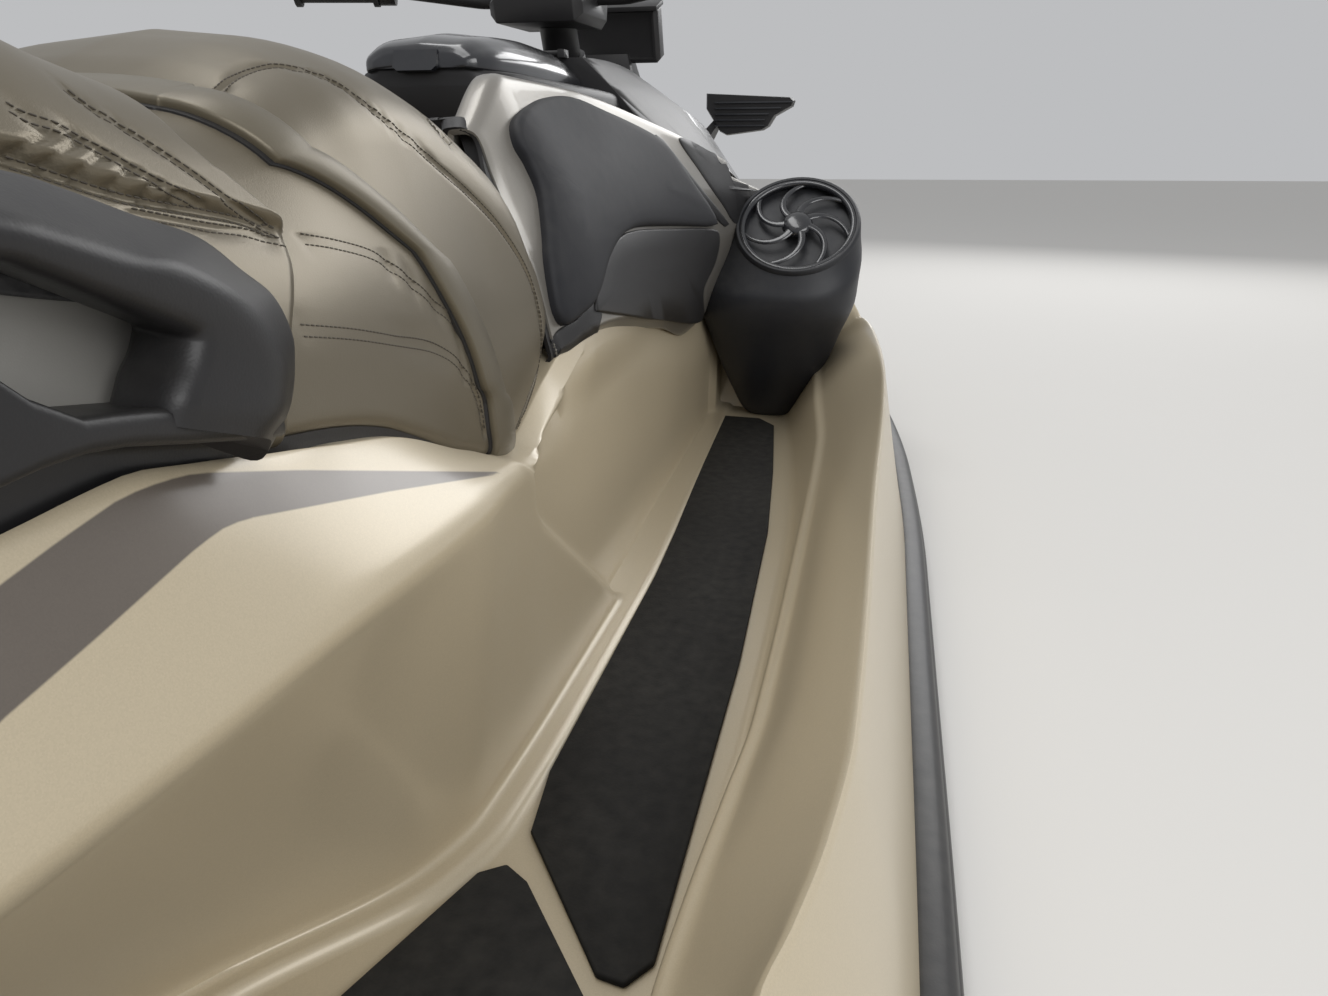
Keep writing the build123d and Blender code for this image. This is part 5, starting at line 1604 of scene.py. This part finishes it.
def make_pod(side):
    name = "right" if side < 0 else "left"
    rows = []
    for step in range(POD_STEPS + 1):
        z = mix(POD_ROWS[0][0], POD_ROWS[-1][0], (step / POD_STEPS) ** POD_CROWDING)
        square = mix(POD_SQUARE, ROUND, smooth(*POD_ROUNDS_Z, z))
        rows.append(pod_loop((z, *row_at(POD_ROWS, z)), 1.0, 0.0, square))
    rows += [pod_loop(POD_ROWS[-1], scale, lift, ROUND) for scale, lift in POD_RIM]
    body = skin(f"pod_{name}_body", rows, pod_satin, angle=40)
    grille = make_grille(name)
    for piece in (body, grille):
        if side > 0:
            piece.data.transform(Matrix.Scale(-1, 4, (0, 1, 0)))
            piece.data.flip_normals()
        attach(piece, "root")
    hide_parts(f"speaker_pod_{name}")
    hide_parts("speaker_grilles")


def make_grille(name):
    """Glossy hoop with swept blades round a small cap."""
    place, across, back, up = pod_frame(POD_ROWS[-1])
    work = bmesh.new()

    def spot(r, turn, lift):
        return place + across * (r * math.cos(turn)) + back * (r * math.sin(turn)) + up * lift

    hoop = []
    for turn in turns(HOOP_SIDES):
        hoop.append([work.verts.new(spot(HOOP_RADIUS + HOOP_WIRE[0] * math.cos(a), turn,
                                         HOOP_LIFT + HOOP_WIRE[1] * math.sin(a)))
                     for a in turns(HOOP_WIRE_SIDES)])
    bridge(work, hoop, True)
    for turn in turns(BLADES):
        path = []
        for step in range(BLADE_STEPS + 1):
            t = step / BLADE_STEPS
            path.append(spot(mix(BLADE_ROOT_RADIUS, HOOP_RADIUS, t),
                             turn + BLADE_TURN + BLADE_SWEEP * t ** BLADE_CURL, BLADE_ROOT_LIFT * (1 - t)))
        loops = []
        for i, here in enumerate(path):
            ahead = path[min(i + 1, BLADE_STEPS)] - path[max(i - 1, 0)]
            side_axis = ahead.cross(up).normalized()
            width = BLADE_HALF_WIDTH * (1 - BLADE_TAPER * i / BLADE_STEPS)
            loops.append([work.verts.new(here + side_axis * (width * math.cos(a))
                                         + up * (BLADE_HALF_THICKNESS * math.sin(a)))
                          for a in turns(BLADE_SIDES)])
        bridge(work, loops, False)
    cap = [[work.verts.new(spot(r, turn, lift)) for turn in turns(CAP_SIDES)] for r, lift in CAP]
    bridge(work, cap, False)
    return piece_of(work, f"grille_{name}", black_gloss, 45)


def bridge(work, loops, ring):
    """Faces between loops of vertices, ends closed unless the loops form a ring."""
    count = len(loops[0])
    pairs = list(zip(loops, loops[1:])) + ([(loops[-1], loops[0])] if ring else [])
    for low, high in pairs:
        for k in range(count):
            n = (k + 1) % count
            work.faces.new((low[k], low[n], high[n], high[k]))
    if not ring:
        work.faces.new(loops[0])
        work.faces.new(list(reversed(loops[-1])))


make_pod(-1)
make_pod(1)


# Glove box, its latch and the saddle that carries it

# Lid: station x, half-width, low z, edge z and top z
LID = [
    (-0.232, 0.056, 0.660, 0.667, 0.676), (-0.224, 0.070, 0.658, 0.671, 0.687),
    (-0.190, 0.083, 0.657, 0.676, 0.699), (-0.120, 0.090, 0.657, 0.676, 0.708),
    (-0.040, 0.092, 0.657, 0.675, 0.712), (0.040, 0.092, 0.657, 0.673, 0.711),
    (0.108, 0.090, 0.657, 0.668, 0.704),
]
# Saddle: station x, half-width at the foot and at the top, foot z, top z
SADDLE = [
    (-0.226, 0.060, 0.056, 0.640, 0.660), (-0.216, 0.088, 0.078, 0.600, 0.659),
    (-0.180, 0.112, 0.098, 0.548, 0.658), (-0.060, 0.136, 0.118, 0.548, 0.656),
    (0.060, 0.160, 0.134, 0.548, 0.654), (0.110, 0.170, 0.140, 0.548, 0.652),
]
# The bin's low and high corners
GLOVE_BIN = [(-0.172, -0.068, 0.564), (0.077, 0.068, 0.680)]
# Latch: a pull ring, oblong across the craft, on a plate that stands a little out from the lid
LATCH_PLACE = Vector((-0.2315, 0.002, 0.666))
LATCH_UP = Vector((0.35, 0, 0.94))
RING_SIDES = 48
RING_STRAIGHT = 0.014
RING_HALF_SIZE = (0.008, 0.007)
RING_WIRE_RADIUS = 0.0022
RING_WIRE_SIDES = 8
PLATE_HALF_SIZE = (0.027, 0.012)
PLATE_CORNERS = [(-1, -0.6), (-0.8, -1), (0.8, -1), (1, -0.6), (1, 1), (-1, 1)]
PLATE_ROWS = [(-0.006, 1.0), (0.0, 1.0), (0.0015, 0.94)]


def make_glove_box():
    rows = []
    for x in stations((LID[0][0], LID[1][0], 0.002), (LID[1][0], LID[-1][0], 0.01)):
        half_width, low, edge, top = row_at(LID, x)
        corners = [(0.5 * half_width, low, 0), (half_width, low, 0.003), (half_width, edge, 0.008),
                   (0.72 * half_width, mix(edge, top, 0.78), 0.02), (0, top, 0)]
        rows.append(whole_section(x, rounded_section(corners, [2, 3, 6, 8])))
    lid = skin("glove_box_cover", rows, black_gloss, angle=50)
    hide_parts("glove_box_lid")
    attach(lid, frame["nodes"]["glove_box_lid"]["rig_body"])
    latch = make_latch()
    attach(latch, frame["nodes"]["glove_box_lid"]["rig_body"])
    rows = []
    for x, foot_y, top_y, foot_z, top_z in SADDLE:
        corners = [(foot_y, foot_z, 0), (mix(foot_y, top_y, 0.9), top_z, 0.012), (0, top_z, 0)]
        rows.append(whole_section(x, rounded_section(corners, [6, 6])))
    saddle = skin("glove_box_saddle", rows, black_satin, angle=40)
    bpy.ops.mesh.primitive_cube_add(size=1, location=[(a + b) / 2 for a, b in zip(*GLOVE_BIN)],
                                    scale=[b - a for a, b in zip(*GLOVE_BIN)])
    room = bpy.context.active_object
    cut = saddle.modifiers.new("bin", "BOOLEAN")
    cut.operation = "DIFFERENCE"
    cut.object = room
    only(saddle)
    bpy.ops.object.modifier_apply(modifier="bin")
    only(room)
    bpy.ops.object.delete()
    smooth_piece(saddle, 40)
    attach(saddle, "root")


def make_latch():
    """Oblong pull ring on a tab at the lid's rear edge."""
    across = Vector((0, 1, 0))
    up = LATCH_UP.normalized()
    out = across.cross(up)
    work = bmesh.new()
    ring = []
    for turn in turns(RING_SIDES):
        c, s = math.cos(turn), math.sin(turn)
        middle = LATCH_PLACE + across * (RING_STRAIGHT * (1 if c > 0 else -1) + RING_HALF_SIZE[0] * c)
        middle += up * (RING_HALF_SIZE[1] * s)
        away = (across * c + up * s).normalized()
        ring.append([work.verts.new(middle + away * (RING_WIRE_RADIUS * math.cos(a))
                                    + out * (RING_WIRE_RADIUS * math.sin(a)))
                     for a in turns(RING_WIRE_SIDES)])
    bridge(work, ring, True)
    plate = []
    for lift, scale in PLATE_ROWS:
        wide, high = scale * PLATE_HALF_SIZE[0], scale * PLATE_HALF_SIZE[1]
        plate.append([work.verts.new(LATCH_PLACE + across * (wide * sx) + up * (high * sz) + out * lift)
                      for sx, sz in PLATE_CORNERS])
    bridge(work, plate, False)
    return piece_of(work, "glove_latch", black_gloss, 40)


make_glove_box()


# Mirrors, as (y, z) outlines across the craft

MIRROR_OUTLINE = [(0.128, 0.700), (0.318, 0.690), (0.326, 0.683), (0.322, 0.672), (0.284, 0.652),
                  (0.270, 0.630), (0.256, 0.622), (0.176, 0.612), (0.160, 0.620), (0.128, 0.668)]
MIRROR_MIDDLE = (0.22, 0.66)
MIRROR_REAR_X = 0.925
# Stations of the housing and the scale of its outline there
MIRROR_ROWS = [(0.925, 0.96), (0.937, 1.0), (0.965, 0.98), (0.985, 0.86)]
FIN_HEIGHTS = [0.632, 0.644, 0.656, 0.668, 0.680]
FIN_INNER_Y = 0.150
FIN_OUTER_Y = 0.262
FIN_SPREAD_FROM_Z = 0.652
FIN_SPREAD = 2.2
FIN_SINK = 0.002
FIN_DEPTH = 0.010
FIN_THICKNESS = 0.003
ARM_SINK = 0.002
ARM_TOP = [(0.940, 0.150, 0.650), (0.968, 0.150, 0.650), (0.968, 0.168, 0.655), (0.940, 0.168, 0.655)]
ARM_FOOT = [(0.925, 0.080), (0.985, 0.080), (0.985, 0.104), (0.925, 0.104)]
hood_tree = surface_of(frame["nodes"]["hood_lid"])


def make_mirror(side, name):
    middle_y, middle_z = MIRROR_MIDDLE
    rows = [[Vector((x, side * mix(middle_y, y, scale), mix(middle_z, z, scale))) for y, z in MIRROR_OUTLINE]
            for x, scale in MIRROR_ROWS]
    housing = skin(f"mirror_{name}_housing", rows, black_satin, angle=30)
    for height in FIN_HEIGHTS:
        outer_y = FIN_OUTER_Y + FIN_SPREAD * max(height - FIN_SPREAD_FROM_Z, 0.0)
        place = (MIRROR_REAR_X - FIN_SINK, side * (FIN_INNER_Y + outer_y) / 2, height)
        bpy.ops.mesh.primitive_cube_add(size=1, location=place,
                                        scale=(FIN_DEPTH, outer_y - FIN_INNER_Y, FIN_THICKNESS))
        fin = bpy.context.active_object
        fin.data.materials.append(black_gloss)
        join_into(housing, fin)
    top = [(x, side * y, z) for x, y, z in ARM_TOP]
    foot = []
    for x, y in ARM_FOOT:
        spot = hood_tree.ray_cast(Vector((x, side * y, 1.0)), Vector((0, 0, -1)))[0]
        foot.append((x, side * y, spot.z - ARM_SINK))
    join_into(housing, skin(f"mirror_{name}_arm", [foot, top], black_satin))
    smooth_piece(housing, 30)
    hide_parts(f"mirror_{name}")
    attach(housing, frame["nodes"][f"mirror_{name}"]["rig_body"])


make_mirror(1, "left")
make_mirror(-1, "right")


# Remaining rigid pieces

EASE_ANGLE = 32
FLAT_ANGLE_DEG = 0.5
COPY_DOUBLE_GAP = 1e-5


def eased_copy(node, name, material, bevel):
    """Copy of a CAD node with its sharp edges eased and its curved faces smooth."""
    source = frame["nodes"][node]
    piece = bpy.data.objects.new(name, source.data.copy())
    bpy.context.scene.collection.objects.link(piece)
    work = bmesh.new()
    work.from_mesh(piece.data)
    bmesh.ops.remove_doubles(work, verts=work.verts, dist=COPY_DOUBLE_GAP)
    bmesh.ops.dissolve_limit(work, angle_limit=math.radians(FLAT_ANGLE_DEG), verts=work.verts,
                             edges=work.edges)
    work.to_mesh(piece.data)
    work.free()
    ease_edges(piece, bevel, segments=2, angle=EASE_ANGLE)
    piece.data.materials.clear()
    piece.data.materials.append(material)
    smooth_piece(piece, EASE_ANGLE)
    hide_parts(node)
    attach(piece, source["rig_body"])


# Nodes with their material and the width of the eased edges
EASED = [
    ("dash", black_satin, 0.004), ("hood_lid", dark_satin, 0.004), ("gauge_display", black_satin, 0.003),
    ("foot_mat_left", mat_foam, 0.002), ("foot_mat_right", mat_foam, 0.002),
    ("platform_mat", mat_foam, 0.002), ("steering_head", black_satin, 0.003),
    ("bow_bumper", rail_rubber, 0.004), ("reverse_bucket", black_satin, 0.001),
    ("ride_plate", cast, 0.001), ("sponsons", black_satin, 0.003),
]
for node, material, bevel in EASED:
    eased_copy(node, f"{node}_piece", material, bevel)

# Nodes that show as they are, with their material
KEPT = {
    "hull": hull_paint, "engine_block": iron, "hood_hinge": steel, "handlebar": black_satin,
    "grip_left": grip_rubber, "grip_right": grip_rubber, "lever_left": black_satin,
    "lever_right": black_satin, "pump_housing": cast, "impeller": steel, "steering_nozzle": cast,
    "intake_grate": steel, "boarding_step": steel, "step_brackets": steel, "bow_eye": steel,
    "stern_eyes": steel,
}
for node, material in KEPT.items():
    mesh = frame["nodes"][node].data
    mesh.materials.clear()
    mesh.materials.append(material)


# Floor, lights and world

FLOOR_SIZE = 60
WORLD_COLOR = (0.82, 0.83, 0.85)
WORLD_STRENGTH = 0.62


def make_stage():
    bpy.ops.mesh.primitive_plane_add(size=FLOOR_SIZE, location=(0, 0, WATERLINE_Z))
    floor = bpy.context.active_object
    floor.name = "floor"
    floor.data.materials.append(finish_of("pale_floor", srgb(214, 212, 208), 0.85, dust=0.0))


def add_light(name, place, target, size, power):
    """Area lamp of a width and a height, turned towards its target."""
    bpy.ops.object.light_add(type="AREA", location=place)
    lamp = bpy.context.active_object
    lamp.name = name
    lamp.data.shape = "RECTANGLE"
    lamp.data.size, lamp.data.size_y = size
    lamp.data.energy = power
    lamp.rotation_euler = (Vector(target) - Vector(place)).to_track_quat("-Z", "Y").to_euler()


make_stage()
add_light("window", (4.5, -1.8, 2.6), target=(0, 0, 0.3), size=(3.5, 1.8), power=72)
add_light("ceiling", (-0.5, 0.5, 4.2), target=(-0.3, 0, 0.3), size=(4.0, 1.2), power=60)
add_light("fill", (-3.2, -3.4, 2.4), target=(-0.5, 0, 0.2), size=(3.2, 2.2), power=95)

world = bpy.data.worlds.new("soft_room")
bpy.context.scene.world = world
world.use_nodes = True
world.node_tree.nodes["Background"].inputs["Color"].default_value = (*WORLD_COLOR, 1)
world.node_tree.nodes["Background"].inputs["Strength"].default_value = WORLD_STRENGTH
bpy.context.scene.view_settings.view_transform = "Standard"
